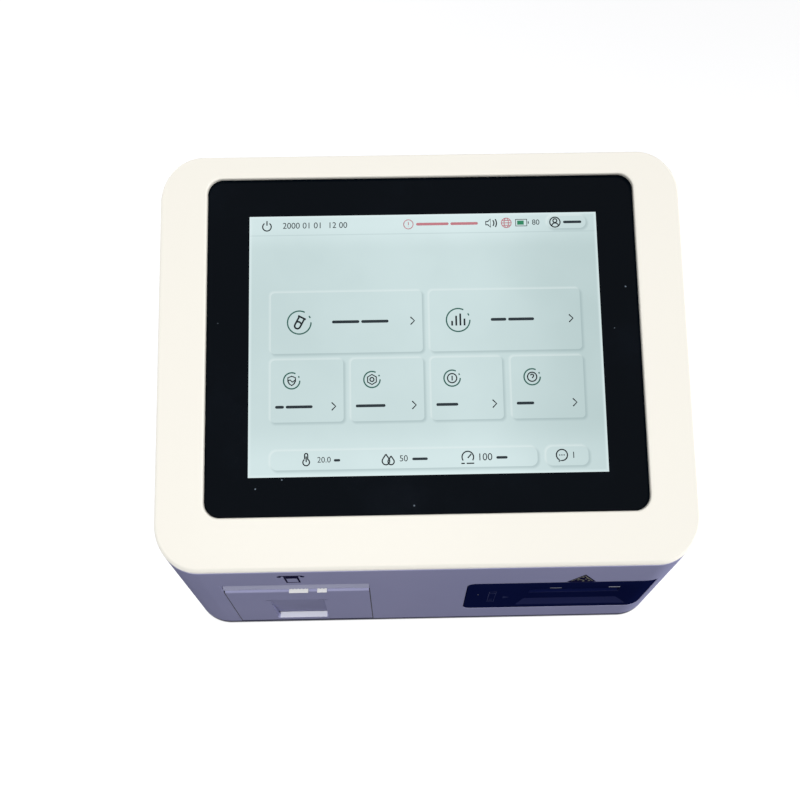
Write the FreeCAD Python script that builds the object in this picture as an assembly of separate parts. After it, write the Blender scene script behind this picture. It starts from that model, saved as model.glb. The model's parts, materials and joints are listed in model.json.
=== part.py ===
"""Bench-top blood gas analyzer: a wedge-shaped housing with a sloped touch screen, a strip printer
behind a hinged door on the left of the front, and a test card port in a dark panel on the right.

Millimetres. X runs to the right, Y to the back, Z up. The origin is on the floor, below the middle
of the outline. Depths are measured back from the front wall, and heights up from the body's lower edge.
Places on the screen are measured along the sloped face: across, up the slope, and out of it.
"""
import FreeCAD, Part
import math
import os

Vector = FreeCAD.Vector
AXIS_X = Vector(1, 0, 0)
AXIS_Y = Vector(0, 1, 0)
AXIS_Z = Vector(0, 0, 1)
HEX_SIDES = 6

# Display and the bezel's opening round it, and with them the body's width and depth
display_width = 162.0
display_height = 121.3
display_shift = 0.9
display_side_margin = 18.3
display_low_margin = 17.5
display_high_margin = 17.6
opening_low = 22.9
opening_corner = 7.0
opening_edge_chamfer = 0.6
bezel_side_margin = 21.7
bezel_high_margin = 11.27541
face_slope_deg = 24.8

slope = math.radians(face_slope_deg)
opening_half_width = display_width / 2 + display_side_margin
display_low = opening_low + display_low_margin
opening_high = display_low + display_height + display_high_margin
face_length = opening_high + bezel_high_margin
body_width = (opening_half_width + bezel_side_margin) * 2
body_depth = face_length * math.cos(slope)

# Body
front_height = 77.9
corner_radius = 19.5
wall = 2.6
foot_height = 3.0
paper_proud = 1.0
overrun = 5.0
fit_gap = 0.3
slip_gap = 0.15
running_gap = 0.06

half_width = body_width / 2
y_front = -(body_depth - paper_proud) / 2
z_base = foot_height
z_edge = z_base + front_height
body_height = front_height + body_depth * math.tan(slope)
reach = body_width + body_depth

# Screen stack, outside to inside
bezel_thickness = 2.6
bezel_edge_chamfer = 1.1
bezel_lip_share = 0.077
bezel_lip_wall = 1.8
seam_gap = 0.5
gasket_thickness = 0.5
gasket_setback = 1.2
glass_overlap = 3.2
glass_thickness = 1.8
glass_gap = 0.2
lcd_border = 5.0
lcd_thickness = 4.5
bracket_sheet = 1.0
bracket_lip = 3.6
bracket_window_web = 9.0
bracket_window_count = 3
ear_half_width = 5.0
boss_radius = 3.6
boss_across_margin = 9.2
boss_up_shares = (0.32, 0.74)
small_screw_radius = 1.2
small_screw_depth = 5.0
small_head_radius = 2.4
small_head_height = 1.5

boss_across = opening_half_width + boss_across_margin
bezel_lip_depth = front_height * bezel_lip_share
glass_top = bezel_thickness + gasket_thickness
lcd_top = glass_top + glass_thickness + glass_gap
lcd_back = lcd_top + lcd_thickness

# Base, feet and main fasteners
tray_thickness = 2.5
tray_rim_height = 6.0
tray_rim_wall = 1.8
tray_gap = 0.3
housing_boss_inset = 10.5
housing_boss_radius = 5.2
housing_boss_height = 14.0
base_screw_radius = 1.5
base_screw_length = 10.0
base_head_radius = 3.0
base_head_height = 1.5
foot_radius = 8.0
foot_sides = 24
foot_inset_x = 27.0
foot_inset_front = 27.0
foot_inset_rear = 25.0
base_vent_count = 7
base_vent_width = 2.6
base_vent_length = 34.0
base_vent_pitch = 7.0
base_vent_x = 62.0
base_vent_depth = 118.0

# Strip printer: the door, its hinge and the bay behind it
door_side_margin = 25.6
door_width = 68.0
door_bottom = 1.0
door_top = 47.9
door_gap = 0.4
door_plate = 2.6
door_edge_radius = 1.2
door_rib_depth = 2.4
hinge_depth = 4.3
hinge_height = 4.2
hinge_pin_radius = 1.5
knuckle_radius = 3.0
knuckle_outer = 33.4
knuckle_inner = 28.4
scoop_width = 26.0
scoop_shift = -1.6
scoop_top = 35.0
scoop_bottom = 4.2
scoop_depth = 3.2
scoop_wall = 1.6
scoop_corner = 1.2
bay_wall = 1.6
bay_rear_depth = 53.0
bay_rear_height = 44.0
bay_front_depth = 2.9
bay_front_height = 8.5
bay_ear_low = 1.4
bay_ear_height = 10.0
roll_radius = 18.0
roll_core_radius = 8.0
roll_core_bore = 6.2
roll_core_sides = 24
roll_width = 57.0
roll_depth = 32.0
roll_height = 22.8
cradle_gap = 0.4
tear_bar_low = 49.3
tear_bar_high = 57.2
tear_bar_set_low = 0.5
tear_bar_set_high = 2.4
tear_bar_depth = 6.2
tear_bar_ear = 3.0
tear_bar_ear_depth = 2.0
tooth_pitch = 1.6
tooth_height = 0.5

door_left = door_side_margin - half_width
door_right = door_left + door_width
printer_x = (door_left + door_right) / 2
scoop_centre = printer_x + scoop_shift
bay_half_width = door_width / 2 + door_gap

# Strip printer: platen, print head and drive
platen_depth = 9.0
platen_height = 42.5
platen_radius = 4.6
platen_shaft_radius = 2.0
platen_length = 58.0
arm_inner = 29.3
arm_outer = 30.8
arm_boss_radius = 3.4
arm_nose_share = 0.72
arm_base = 30.0
gear_inner = 31.1
gear_outer = 33.6
gear_module = 0.5
platen_teeth = 22
idler_teeth = 30
pinion_teeth = 12
addendum_share = 0.9
dedendum_share = 1.2
tooth_tip_share = 0.22
tooth_root_share = 0.62
motor_depth = 30.0
motor_height = 51.5
motor_radius = 7.0
motor_corner_share = 0.42
motor_length = 19.0
motor_flange = 1.0
motor_shaft_radius = 1.0
idler_shaft_radius = 1.5
strip_thickness = 0.2
strip_depth = 13.72
strip_turn_radius = 3.5
strip_out_height = 48.45
strip_half_width = 28.6
tab_width = 9.0
tab_shift = 0.9
small_tab_width = 4.5
small_tab_shift = 11.9
tab_setback = 2.6
head_face_depth = 14.05
head_plate_thickness = 1.2
head_low = 37.0
head_high = 47.6
head_half_width = 28.6
heatsink_thickness = 3.0
fin_count = 8
fin_depth = 2.0
fin_wall = 1.4
head_pivot_depth = 16.75
head_pivot_height = 37.5
head_pivot_radius = 1.2
head_pivot_reach = 30.0
frame_inner = 29.6
frame_sheet = 1.2
frame_front_depth = 15.4
frame_rear_depth = 40.0
frame_low = 33.0
frame_top = 61.0
frame_roll_gap = 1.4
frame_foot_length = 7.0
leaf_gap = 0.75
leaf_sheet = 0.5
leaf_half_width = 5.0
leaf_offset = 17.0

# Card port: the dark panel, its recess and the guide behind it
panel_side_margin = 13.4
panel_width = 88.6
panel_low_share = 0.19
panel_high_share = 0.6855
panel_corner = 3.6
panel_end_corner = 5.5
panel_end_corner_top = 1.2
panel_flange = 2.5
panel_flange_thickness = 1.5
recess_inset_left = 26.0
recess_inset_right = 7.1
recess_inset_low = 4.8
recess_inset_high = 5.4
recess_depth = 2.9
recess_side_slope = 4.5
recess_low_slope = 1.0
recess_high_slope = 1.6
recess_back_wall = 1.6
slot_inset_left = 6.0
slot_inset_right = 5.5
slot_low_share = 0.366
slot_height = 4.7
light_height = 0.9
light_width = 5.5
light_rise = 1.1
light_x_shares = (0.28, 0.93)
guide_wall = 5.0
guide_plate = 3.8
guide_rear_depth = 74.0
guide_stop = 4.0
guide_post_radius = 3.2
guide_post_inset = 4.0
guide_lead_in = 1.2
window_inset = 7.0
window_front_depth = 22.0
window_rear_depth = 52.0
heater_thickness = 6.5
heater_drop = 0.2
heater_pin_radius = 3.0
bridge_clearance = 7.5
bridge_thickness = 2.5
bridge_leg = 3.0
bridge_front_depth = 28.0
bridge_rear_depth = 58.0
contact_block = 28.6
contact_block_depth = 28.6
contact_rest_gap = 1.0
contact_block_height = 8.0
contact_ear_height = 4.0
contact_ear_half_depth = 4.0
contact_ear_end = 3.0
contact_travel = 5.0
pin_rows = 3
pin_columns = 8
pin_width = 0.9
pin_pitch = 2.54
pin_length = 6.5
guide_rod_radius = 1.5
guide_rod_offset = 20.5
screw_radius = 2.0
screw_offset_depth = 10.0
screw_hole_half = 2.4
screw_end_gap = 1.2
clamp_motor_half = 8.0
clamp_motor_clearance = 5.3
clamp_motor_bore_depth = 5.0
clamp_plate_half = 9.0
clamp_plate_thickness = 1.6

panel_right = half_width - panel_side_margin
panel_left = panel_right - panel_width
recess_left = panel_left + recess_inset_left
recess_right = panel_right - recess_inset_right
slot_left = recess_left + slot_inset_left
slot_right = recess_right - slot_inset_right
window_left = slot_left + window_inset
window_right = slot_right - window_inset
panel_low = front_height * panel_low_share
panel_high = front_height * panel_high_share
recess_low = panel_low + recess_inset_low
recess_high = panel_high - recess_inset_high
slot_low = recess_low + (recess_high - recess_low) * slot_low_share
slot_high = slot_low + slot_height
contact_low = slot_high + guide_plate + contact_rest_gap + contact_travel
bridge_low = contact_low + contact_block_height + bridge_clearance

# Boards, battery and speaker
board_side_margin = 17.0
board_width = 114.0
board_guide_gap = 10.0
board_height = 12.0
board_thickness = 1.6
standoff_radius = 3.0
standoff_inset = 5.0
chip_sizes = ((26.0, 26.0, 2.4), (18.0, 14.0, 1.8), (12.0, 12.0, 1.6))
chip_x_shares = (0.30, 0.62, 0.82)
chip_y_shares = (0.35, 0.30, 0.62)
battery_side_margin = 15.0
battery_board_gap = 22.0
battery_rear_margin = 17.0
battery_front_margin = 15.0
battery_thickness = 21.0
battery_corner = 3.0
battery_sheet = 1.5
battery_strap_width = 14.0
battery_strap_depth_shares = (0.25, 0.75)
battery_side_gap = 0.3
battery_flange = 5.0
speaker_shift = 1.5
speaker_depth = 44.0
speaker_sides = 16
speaker_radius = 14.0
speaker_height = 4.5
speaker_magnet_radius = 8.0
speaker_magnet_height = 4.0
speaker_slot_count = 5
speaker_slot_width = 1.8
speaker_slot_length = 16.0
speaker_slot_pitch = 4.0

board_right = half_width - board_side_margin
board_left = board_right - board_width
battery_left = battery_side_margin - half_width
battery_right = board_left - battery_board_gap
battery_rear_depth = body_depth - battery_rear_margin
battery_front_depth = bay_rear_depth + battery_front_margin
speaker_x = (door_right + recess_left) / 2 + speaker_shift

# Rear pocket with its switch and sockets, each placed from the pocket's right side
pocket_side_margin = 18.0
pocket_width = 119.0
pocket_low = 9.0
pocket_high = 38.0
pocket_depth = 6.0
pocket_corner = 4.0
rear_vent_count = 5
rear_vent_width = 3.0
rear_vent_length = 62.0
rear_vent_pitch = 6.5
rear_vent_height = 92.0
lan_inset = 71.0
lan_width = 16.0
lan_height = 13.4
lan_length = 19.0
lan_mouth_width = 11.8
lan_mouth_height = 7.2
lan_mouth_depth = 12.0
lan_key_width = 4.4
lan_key_height = 2.2
usb_insets = (49.0, 32.0)
usb_width = 13.2
usb_height = 5.8
usb_length = 16.0
usb_sheet = 0.5
usb_tongue = 1.9
usb_tongue_width = 10.6
usb_mouth_depth = 10.0
inlet_inset = 15.0
inlet_width = 9.0
inlet_height = 11.0
inlet_length = 14.0
inlet_bore_radius = 3.2
inlet_bore_depth = 9.0
inlet_pin_radius = 1.0
socket_gap = 0.25
switch_inset = 97.0
switch_height = 23.5
switch_width = 21.0
switch_tall = 15.0
switch_flange = 1.4
switch_body_width = 19.0
switch_body_tall = 12.9
switch_body_depth = 14.0
rocker_half_width = 6.4
rocker_half_tall = 4.5
rocker_side_gap = 0.8
rocker_swing_deg = 20.0
rocker_depth = 5.0
rocker_crown = 1.4
rocker_axle_radius = 1.0
rocker_hole_radius = 1.1
rocker_hole_sides = 12
rocker_axle_reach = 7.2
rocker_pivot_in = 2.0

pocket_right = half_width - pocket_side_margin
pocket_left = pocket_right - pocket_width
lan_x = pocket_right - lan_inset
usb_x = [pocket_right - inset for inset in usb_insets]
inlet_x = pocket_right - inlet_inset
switch_x = pocket_right - switch_inset


def depth(value):
    """World Y of a depth measured back from the front wall."""
    return y_front + value


def height(value):
    """World Z of a height measured up from the body's lower edge."""
    return z_base + value


def box(x0, x1, d0, d1, h0, h1):
    """Box between two X values, two depths and two heights."""
    return Part.makeBox(x1 - x0, d1 - d0, h1 - h0, Vector(x0, depth(d0), height(h0)))


def rod_x(d, h, radius, x0, x1):
    return Part.makeCylinder(radius, x1 - x0, Vector(x0, depth(d), height(h)), AXIS_X)


def rod_y(x, h, radius, d0, d1):
    return Part.makeCylinder(radius, d1 - d0, Vector(x, depth(d0), height(h)), AXIS_Y)


def rod_z(x, d, radius, h0, h1):
    return Part.makeCylinder(radius, h1 - h0, Vector(x, depth(d), height(h0)), AXIS_Z)


def bar_x(d, h, radius, x0, x1, sides):
    """Many-sided bar along X, measured across its corners."""
    turns = [math.tau * i / sides for i in range(sides)]
    return prism_x([(d + radius * math.cos(a), h + radius * math.sin(a)) for a in turns], x0, x1)


def bar_z(x, d, radius, h0, h1, sides=HEX_SIDES):
    """Upright many-sided bar, measured across its corners."""
    corners = [Vector(x + radius * math.cos(a), depth(d) + radius * math.sin(a), height(h0))
               for a in (math.tau * i / sides for i in range(sides))]
    return Part.Face(Part.makePolygon(corners + corners[:1])).extrude(AXIS_Z * (h1 - h0))


def edges_along(shape, axis):
    """Straight edges of a shape that run parallel to an axis."""
    found = []
    for edge in shape.Edges:
        ends = edge.lastVertex().Point - edge.firstVertex().Point
        if ends.Length > 0 and ends.cross(axis).Length < ends.Length / reach:
            found.append(edge)
    return found


def rounded(shape, axis, radius):
    """The shape with its edges along an axis rounded."""
    return shape.makeFillet(radius, edges_along(shape, axis))


def prism_x(points, x0, x1):
    """Outline of (depth, height) points, run along X."""
    corners = [Vector(x0, depth(d), height(h)) for d, h in points]
    face = Part.Face(Part.makePolygon(corners + corners[:1]))
    return face.extrude(AXIS_X * (x1 - x0))


def plan_prism(inset, low, high):
    """The body's plan outline, drawn in by an inset, between two heights."""
    block = box(-half_width + inset, half_width - inset, inset, body_depth - inset, low, high)
    return rounded(block, AXIS_Z, corner_radius - inset)


def on_face(shape):
    """Moves a shape drawn across, up the slope and out of it onto the sloped face."""
    placed = shape.copy()
    turn = FreeCAD.Rotation(AXIS_X, face_slope_deg)
    placed.Placement = FreeCAD.Placement(Vector(0, y_front, z_edge), turn).multiply(shape.Placement)
    return placed


def face_slab(x0, x1, u0, u1, deep, shallow, corner=0):
    """Slab on the sloped face between two depths under it, with rounded corners."""
    slab = Part.makeBox(x1 - x0, u1 - u0, deep - shallow, Vector(x0, u0, -deep))
    if corner > 0:
        slab = rounded(slab, AXIS_Z, corner)
    return on_face(slab)


def face_hex(x, u, radius, deep, shallow):
    """Six-sided bar across the sloped face, measured across its corners."""
    corners = [Vector(x + radius * math.cos(a), u + radius * math.sin(a), -deep)
               for a in (math.tau * i / HEX_SIDES for i in range(HEX_SIDES))]
    return on_face(Part.Face(Part.makePolygon(corners + corners[:1])).extrude(AXIS_Z * (deep - shallow)))


def under_face(offset):
    """Everything that lies more than an offset below the sloped face."""
    return face_slab(-reach, reach, -reach, reach, reach, offset)


def fuse_all(shapes):
    joined = shapes[0]
    if len(shapes) > 1:
        joined = joined.multiFuse(shapes[1:])
    return joined.removeSplitter()


def group(shapes):
    return Part.makeCompound(shapes)


def display_edges():
    """Across and up-slope limits of the display's picture area."""
    left = display_shift - display_width / 2
    return left, left + display_width, display_low, display_low + display_height


boss_ups = [face_length * share for share in boss_up_shares]
pocket_floor = body_depth - pocket_depth
board_rear_depth = pocket_floor - wall - fit_gap
board_front_depth = guide_rear_depth + board_guide_gap
board_top = board_height + board_thickness


def screen_bezel():
    """Sloped frame round the glass, with a lip that drops inside the housing."""
    slab = plan_prism(0, 0, body_height + overrun).common(under_face(0)).cut(under_face(bezel_thickness))
    rim = [e for e in slab.Edges if all(abs(face_offset(v.Point)) < slip_gap for v in e.Vertexes)]
    slab = slab.makeChamfer(bezel_edge_chamfer, rim)
    hole = face_slab(-opening_half_width, opening_half_width, opening_low, opening_high,
                     bezel_thickness + overrun, -overrun, opening_corner)
    slab = slab.cut(hole)
    inner_rim = [e for e in slab.Edges if on_opening_edge(e)]
    slab = slab.makeChamfer(opening_edge_chamfer, inner_rim)
    lip_inset = wall + tray_gap
    lip = plan_prism(lip_inset, 0, body_height).cut(plan_prism(lip_inset + bezel_lip_wall, 0, body_height))
    lip = lip.common(under_face(bezel_thickness)).cut(under_face(bezel_thickness + bezel_lip_depth))
    bosses = [face_hex(side * boss_across, up, boss_radius, lcd_back, bezel_thickness)
              for side in (-1, 1) for up in boss_ups]
    holes = [face_hex(side * boss_across, up, small_screw_radius, lcd_back, lcd_back - small_screw_depth)
             for side in (-1, 1) for up in boss_ups]
    return fuse_all([slab, lip] + bosses).cut(group(holes))


def face_offset(point):
    """Distance of a point above the sloped face."""
    rise = point.z - z_edge
    back = point.y - y_front
    return rise * math.cos(slope) - back * math.sin(slope)


def on_opening_edge(edge):
    """True for the edges where the screen opening meets the bezel's face."""
    middle = edge.valueAt((edge.FirstParameter + edge.LastParameter) / 2)
    up = (middle.y - y_front) * math.cos(slope) + (middle.z - z_edge) * math.sin(slope)
    inside_x = abs(middle.x) < opening_half_width + slip_gap
    inside_u = opening_low - slip_gap < up < opening_high + slip_gap
    return abs(face_offset(middle)) < slip_gap / 2 and inside_x and inside_u


def cover_glass():
    """Black touch glass behind the bezel's opening."""
    return face_slab(-opening_half_width - glass_overlap, opening_half_width + glass_overlap,
                     opening_low - glass_overlap, opening_high + glass_overlap,
                     glass_top + glass_thickness, glass_top, opening_corner + glass_overlap)


def glass_gasket():
    """Foam ring between the bezel and the glass."""
    outer = face_slab(-opening_half_width - glass_overlap, opening_half_width + glass_overlap,
                      opening_low - glass_overlap, opening_high + glass_overlap,
                      glass_top, bezel_thickness, opening_corner + glass_overlap)
    inner = face_slab(-opening_half_width - gasket_setback, opening_half_width + gasket_setback,
                      opening_low - gasket_setback, opening_high + gasket_setback,
                      glass_top + overrun, bezel_thickness - overrun, opening_corner + gasket_setback)
    return outer.cut(inner)


def lcd_module():
    """Display module under the glass."""
    x0, x1, u0, u1 = display_edges()
    return face_slab(x0 - lcd_border, x1 + lcd_border, u0 - lcd_border, u1 + lcd_border,
                     lcd_back, lcd_top)


def lcd_bracket():
    """Folded sheet frame that holds the display against the glass, screwed to the bezel's bosses."""
    x0, x1, u0, u1 = display_edges()
    margin = lcd_border + fit_gap + bracket_sheet
    plate = face_slab(x0 - margin, x1 + margin, u0 - margin, u1 + margin,
                      lcd_back + bracket_sheet, lcd_back)
    pieces = [plate]
    for x_low in (x0 - margin, x1 + margin - bracket_sheet):
        pieces.append(face_slab(x_low, x_low + bracket_sheet, u0, u1,
                                lcd_back + bracket_sheet, lcd_back - bracket_lip))
    for side in (-1, 1):
        for up in boss_ups:
            inner = side * (x1 - overrun)
            outer = side * (boss_across + boss_radius)
            pieces.append(face_slab(min(inner, outer), max(inner, outer), up - ear_half_width,
                                    up + ear_half_width, lcd_back + bracket_sheet, lcd_back))
    bracket = fuse_all(pieces)
    pitch = (x1 - x0) / bracket_window_count
    for i in range(bracket_window_count):
        left = x0 + i * pitch + bracket_window_web / 2
        window = face_slab(left, left + pitch - bracket_window_web, u0 + bracket_window_web,
                           u1 - bracket_window_web, lcd_back + bracket_sheet + overrun, lcd_back - fit_gap)
        bracket = bracket.cut(window)
    holes = [face_hex(side * boss_across, up, small_screw_radius + slip_gap, lcd_back + overrun, lcd_back)
             for side in (-1, 1) for up in boss_ups]
    return bracket.cut(group(holes))


def bracket_screws():
    """Four screws through the display bracket into the bezel."""
    screws = []
    seat = lcd_back + bracket_sheet
    for side in (-1, 1):
        for up in boss_ups:
            head = face_hex(side * boss_across, up, small_head_radius, seat + small_head_height, seat)
            shank = face_hex(side * boss_across, up, small_screw_radius, seat,
                             lcd_back - small_screw_depth)
            screws.append(fuse_all([head, shank]))
    return group(screws)


def boss_places():
    """The four (x, depth) places of the housing's screw bosses."""
    return [(side * (half_width - housing_boss_inset), d)
            for side in (-1, 1) for d in (housing_boss_inset, body_depth - housing_boss_inset)]


def main_housing():
    """Body shell with its front openings, rear pocket, vents and screw bosses."""
    top = under_face(bezel_thickness + seam_gap)
    outer = plan_prism(0, 0, body_height + overrun).common(top)
    cavity = plan_prism(wall, -overrun, body_height + overrun + overrun)
    pocket_back = box(pocket_left - wall, pocket_right + wall, pocket_floor - wall, body_depth + overrun,
                      pocket_low - wall, pocket_high + wall)
    pocket_back = rounded(pocket_back, AXIS_Y, pocket_corner + wall)
    shell = outer.cut(cavity.cut(pocket_back))
    pocket = box(pocket_left, pocket_right, pocket_floor, body_depth + overrun, pocket_low, pocket_high)
    shell = shell.cut(rounded(pocket, AXIS_Y, pocket_corner))
    bosses = []
    for x, d in boss_places():
        post = bar_z(x, d, housing_boss_radius, tray_thickness, tray_thickness + housing_boss_height)
        bosses.append(post.common(plan_prism(wall / 2, 0, body_height)))
    shell = fuse_all([shell] + bosses)
    cuts = [bar_z(x, d, base_screw_radius, 0, tray_thickness + base_screw_length)
            for x, d in boss_places()]
    cuts.append(box(door_left - door_gap, door_right + door_gap, -overrun, wall + overrun,
                    -overrun, tear_bar_high))
    cuts.append(panel_outline(-slip_gap, -overrun, corner_radius))
    cuts += rear_vents()
    cuts += rear_socket_holes()
    return shell.cut(group(cuts))


def rear_vents():
    """Level slots through the rear wall."""
    slots = []
    for i in range(rear_vent_count):
        low = rear_vent_height + i * rear_vent_pitch
        slots.append(box(-rear_vent_length / 2, rear_vent_length / 2, body_depth - wall - overrun,
                         body_depth + overrun, low, low + rear_vent_width))
    return slots


def rear_socket_holes():
    """Openings in the pocket's floor for the switch and sockets."""
    front = pocket_floor - wall - overrun
    back = pocket_floor + overrun
    low = board_top
    holes = [box(lan_x - lan_width / 2 - socket_gap, lan_x + lan_width / 2 + socket_gap, front, back,
                 low - socket_gap, low + lan_height + socket_gap)]
    for x in usb_x:
        holes.append(box(x - usb_width / 2 - socket_gap, x + usb_width / 2 + socket_gap, front, back,
                         low - socket_gap, low + usb_height + socket_gap))
    holes.append(box(inlet_x - inlet_width / 2 - socket_gap, inlet_x + inlet_width / 2 + socket_gap,
                     front, back, low - socket_gap, low + inlet_height + socket_gap))
    half_hole = switch_body_width / 2 + slip_gap
    half_tall = switch_body_tall / 2 + slip_gap
    holes.append(box(switch_x - half_hole, switch_x + half_hole, front, back, switch_height - half_tall,
                     switch_height + half_tall))
    return holes


def panel_outline(inset, d0, d1):
    """The dark panel's outline, run along Y. Its far lower corner is rounder than the others."""
    x0 = panel_left + inset
    x1 = panel_right - inset
    low = panel_low + inset
    high = panel_high - inset
    radii = [panel_corner - inset, panel_end_corner - inset, panel_end_corner_top - inset,
             panel_corner - inset]
    centres = [(x0 + radii[0], low + radii[0]), (x1 - radii[1], low + radii[1]),
               (x1 - radii[2], high - radii[2]), (x0 + radii[3], high - radii[3])]
    quarter = math.pi / 2
    edges = []
    ends = []
    for i, ((cx, ch), radius) in enumerate(zip(centres, radii)):
        start = math.pi + i * quarter
        angles = (start, start + quarter / 2, start + quarter)
        points = [Vector(cx + radius * math.cos(a), depth(d0), height(ch + radius * math.sin(a)))
                  for a in angles]
        if ends:
            edges.append(Part.LineSegment(ends[-1], points[0]).toShape())
        edges.append(Part.Arc(*points).toShape())
        ends.append(points[-1])
        if i == 0:
            first = points[0]
    edges.append(Part.LineSegment(ends[-1], first).toShape())
    return Part.Face(Part.Wire(edges)).extrude(AXIS_Y * (d1 - d0))


def card_panel():
    """Glossy dark inlay that follows the front wall round its corner, with a recess for the card."""
    skin = plan_prism(0, 0, body_height).cut(plan_prism(wall, -overrun, body_height + overrun))
    face = skin.common(panel_outline(slip_gap, -overrun, corner_radius))
    inner = plan_prism(wall, 0, body_height)
    inner = inner.cut(plan_prism(wall + panel_flange_thickness, -overrun, body_height + overrun))
    flange = inner.common(panel_outline(-panel_flange, -overrun, corner_radius))
    well = box(recess_left - recess_back_wall, recess_right + recess_back_wall, wall,
               recess_depth + recess_back_wall, recess_low - recess_back_wall,
               recess_high + recess_back_wall)
    panel = fuse_all([face, flange, well])
    panel = panel.cut(recess_cutter())
    slot = box(slot_left, slot_right, recess_depth - overrun, recess_depth + overrun, slot_low, slot_high)
    lights = [box(x0, x1, recess_depth - overrun, recess_depth + overrun, h0, h1)
              for x0, x1, h0, h1 in light_windows()]
    return panel.cut(group([slot] + lights))


def recess_cutter():
    """Tapered cutter of the panel's recess."""
    front_share = wall / recess_depth
    side = recess_side_slope * front_share
    low = height(recess_low - recess_low_slope * front_share)
    high = height(recess_high + recess_high_slope * front_share)
    return Part.makeWedge(recess_left - side, depth(-wall), low, height(recess_low + recess_low_slope),
                          recess_left + recess_side_slope, recess_right + side, depth(recess_depth), high,
                          height(recess_high - recess_high_slope), recess_right - recess_side_slope)


def light_windows():
    """X and height limits of the two indicator windows above the slot."""
    windows = []
    for share in light_x_shares:
        centre = slot_left + (slot_right - slot_left) * share
        low = slot_high + light_rise
        windows.append((centre - light_width / 2, centre + light_width / 2, low, low + light_height))
    return windows


def slot_lights():
    """Two light pipes in the recess above the card slot."""
    pipes = [box(x0, x1, recess_depth, recess_depth + recess_back_wall, h0, h1)
             for x0, x1, h0, h1 in light_windows()]
    return group(pipes)


def base_tray():
    """Bottom cover with its rim, screw seats, vents and speaker slots."""
    inset = wall + tray_gap
    plate = plan_prism(inset, 0, tray_thickness)
    rim = plan_prism(inset, 0, tray_rim_height)
    rim = rim.cut(plan_prism(inset + tray_rim_wall, 0, tray_rim_height + overrun))
    tray = fuse_all([plate, rim])
    half_bay = bay_half_width + bay_wall + fit_gap
    cuts = [box(printer_x - half_bay, printer_x + half_bay, -overrun, bay_front_depth + bay_front_height,
                -overrun, tray_rim_height + overrun)]
    for x, d in boss_places():
        cuts.append(bar_z(x, d, base_screw_radius + slip_gap, -overrun, tray_thickness + overrun))
        cuts.append(bar_z(x, d, base_head_radius + slip_gap, -overrun, base_head_height))
        cuts.append(bar_z(x, d, housing_boss_radius + fit_gap, tray_thickness, tray_rim_height + overrun))
    first = base_vent_depth - base_vent_pitch * (base_vent_count - 1) / 2
    for side in (-1, 1):
        for i in range(base_vent_count):
            d = first + i * base_vent_pitch
            x = side * base_vent_x
            slot = box(x - base_vent_length / 2, x + base_vent_length / 2, d - base_vent_width / 2,
                       d + base_vent_width / 2, -overrun, tray_thickness + overrun)
            cuts.append(slot)
    first = speaker_depth - speaker_slot_pitch * (speaker_slot_count - 1) / 2
    for i in range(speaker_slot_count):
        d = first + i * speaker_slot_pitch
        cuts.append(box(speaker_x - speaker_slot_length / 2, speaker_x + speaker_slot_length / 2,
                        d - speaker_slot_width / 2, d + speaker_slot_width / 2, -overrun,
                        tray_thickness + overrun))
    return tray.cut(group(cuts))


def foot_places():
    return [(side * (half_width - foot_inset_x), d)
            for side in (-1, 1) for d in (foot_inset_front, body_depth - foot_inset_rear)]


def rubber_feet():
    """Four rubber feet."""
    return group([bar_z(x, d, foot_radius, -foot_height, 0, foot_sides) for x, d in foot_places()])


def base_screws():
    """Four screws through the tray into the housing."""
    screws = []
    for x, d in boss_places():
        head = bar_z(x, d, base_head_radius, 0, base_head_height)
        shank = bar_z(x, d, base_screw_radius, base_head_height, tray_thickness + base_screw_length)
        screws.append(fuse_all([head, shank]))
    return group(screws)


def printer_tub():
    """Bay behind the door: a trough for the roll, between two side walls that carry the hinge."""
    outer = printer_x + bay_half_width + bay_wall
    inner = printer_x + bay_half_width
    floor_height = roll_height - roll_radius - cradle_gap - bay_wall
    trough = [(bay_front_depth + bay_front_height, floor_height), (bay_rear_depth, floor_height),
              (bay_rear_depth, bay_rear_height), (roll_depth + roll_radius + cradle_gap, bay_rear_height),
              (roll_depth + roll_radius + cradle_gap, roll_height),
              (roll_depth - roll_radius + bay_wall, roll_height - roll_radius / 2),
              (bay_front_depth + bay_front_height, bay_front_height)]
    body = prism_x(trough, printer_x * 2 - outer, outer)
    body = body.cut(rod_x(roll_depth, roll_height, roll_radius + cradle_gap, printer_x * 2 - inner, inner))
    ear_rear = bay_front_depth + bay_front_height
    side = [(bay_front_depth, bay_ear_low), (ear_rear - fit_gap, bay_ear_low), (ear_rear, floor_height),
            (bay_rear_depth, floor_height), (bay_rear_depth, bay_rear_height),
            (roll_depth - roll_radius / 2, frame_low - fit_gap), (ear_rear, bay_ear_height + bay_wall),
            (bay_front_depth, bay_ear_height)]
    walls = []
    for edge in (printer_x * 2 - outer, inner):
        walls.append(prism_x(side, edge, edge + bay_wall))
    tub = fuse_all([body] + walls)
    pin_hole = rod_x(hinge_depth, hinge_height, hinge_pin_radius, printer_x * 2 - outer - overrun,
                     outer + overrun)
    return tub.cut(pin_hole)


def hinge_pins():
    """Two steel pins on the door's hinge line."""
    pins = []
    outer = bay_half_width + bay_wall
    inner = knuckle_inner + fit_gap
    for x0 in (printer_x - outer, printer_x + inner):
        pins.append(rod_x(hinge_depth, hinge_height, hinge_pin_radius, x0, x0 + outer - inner))
    return group(pins)


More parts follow.
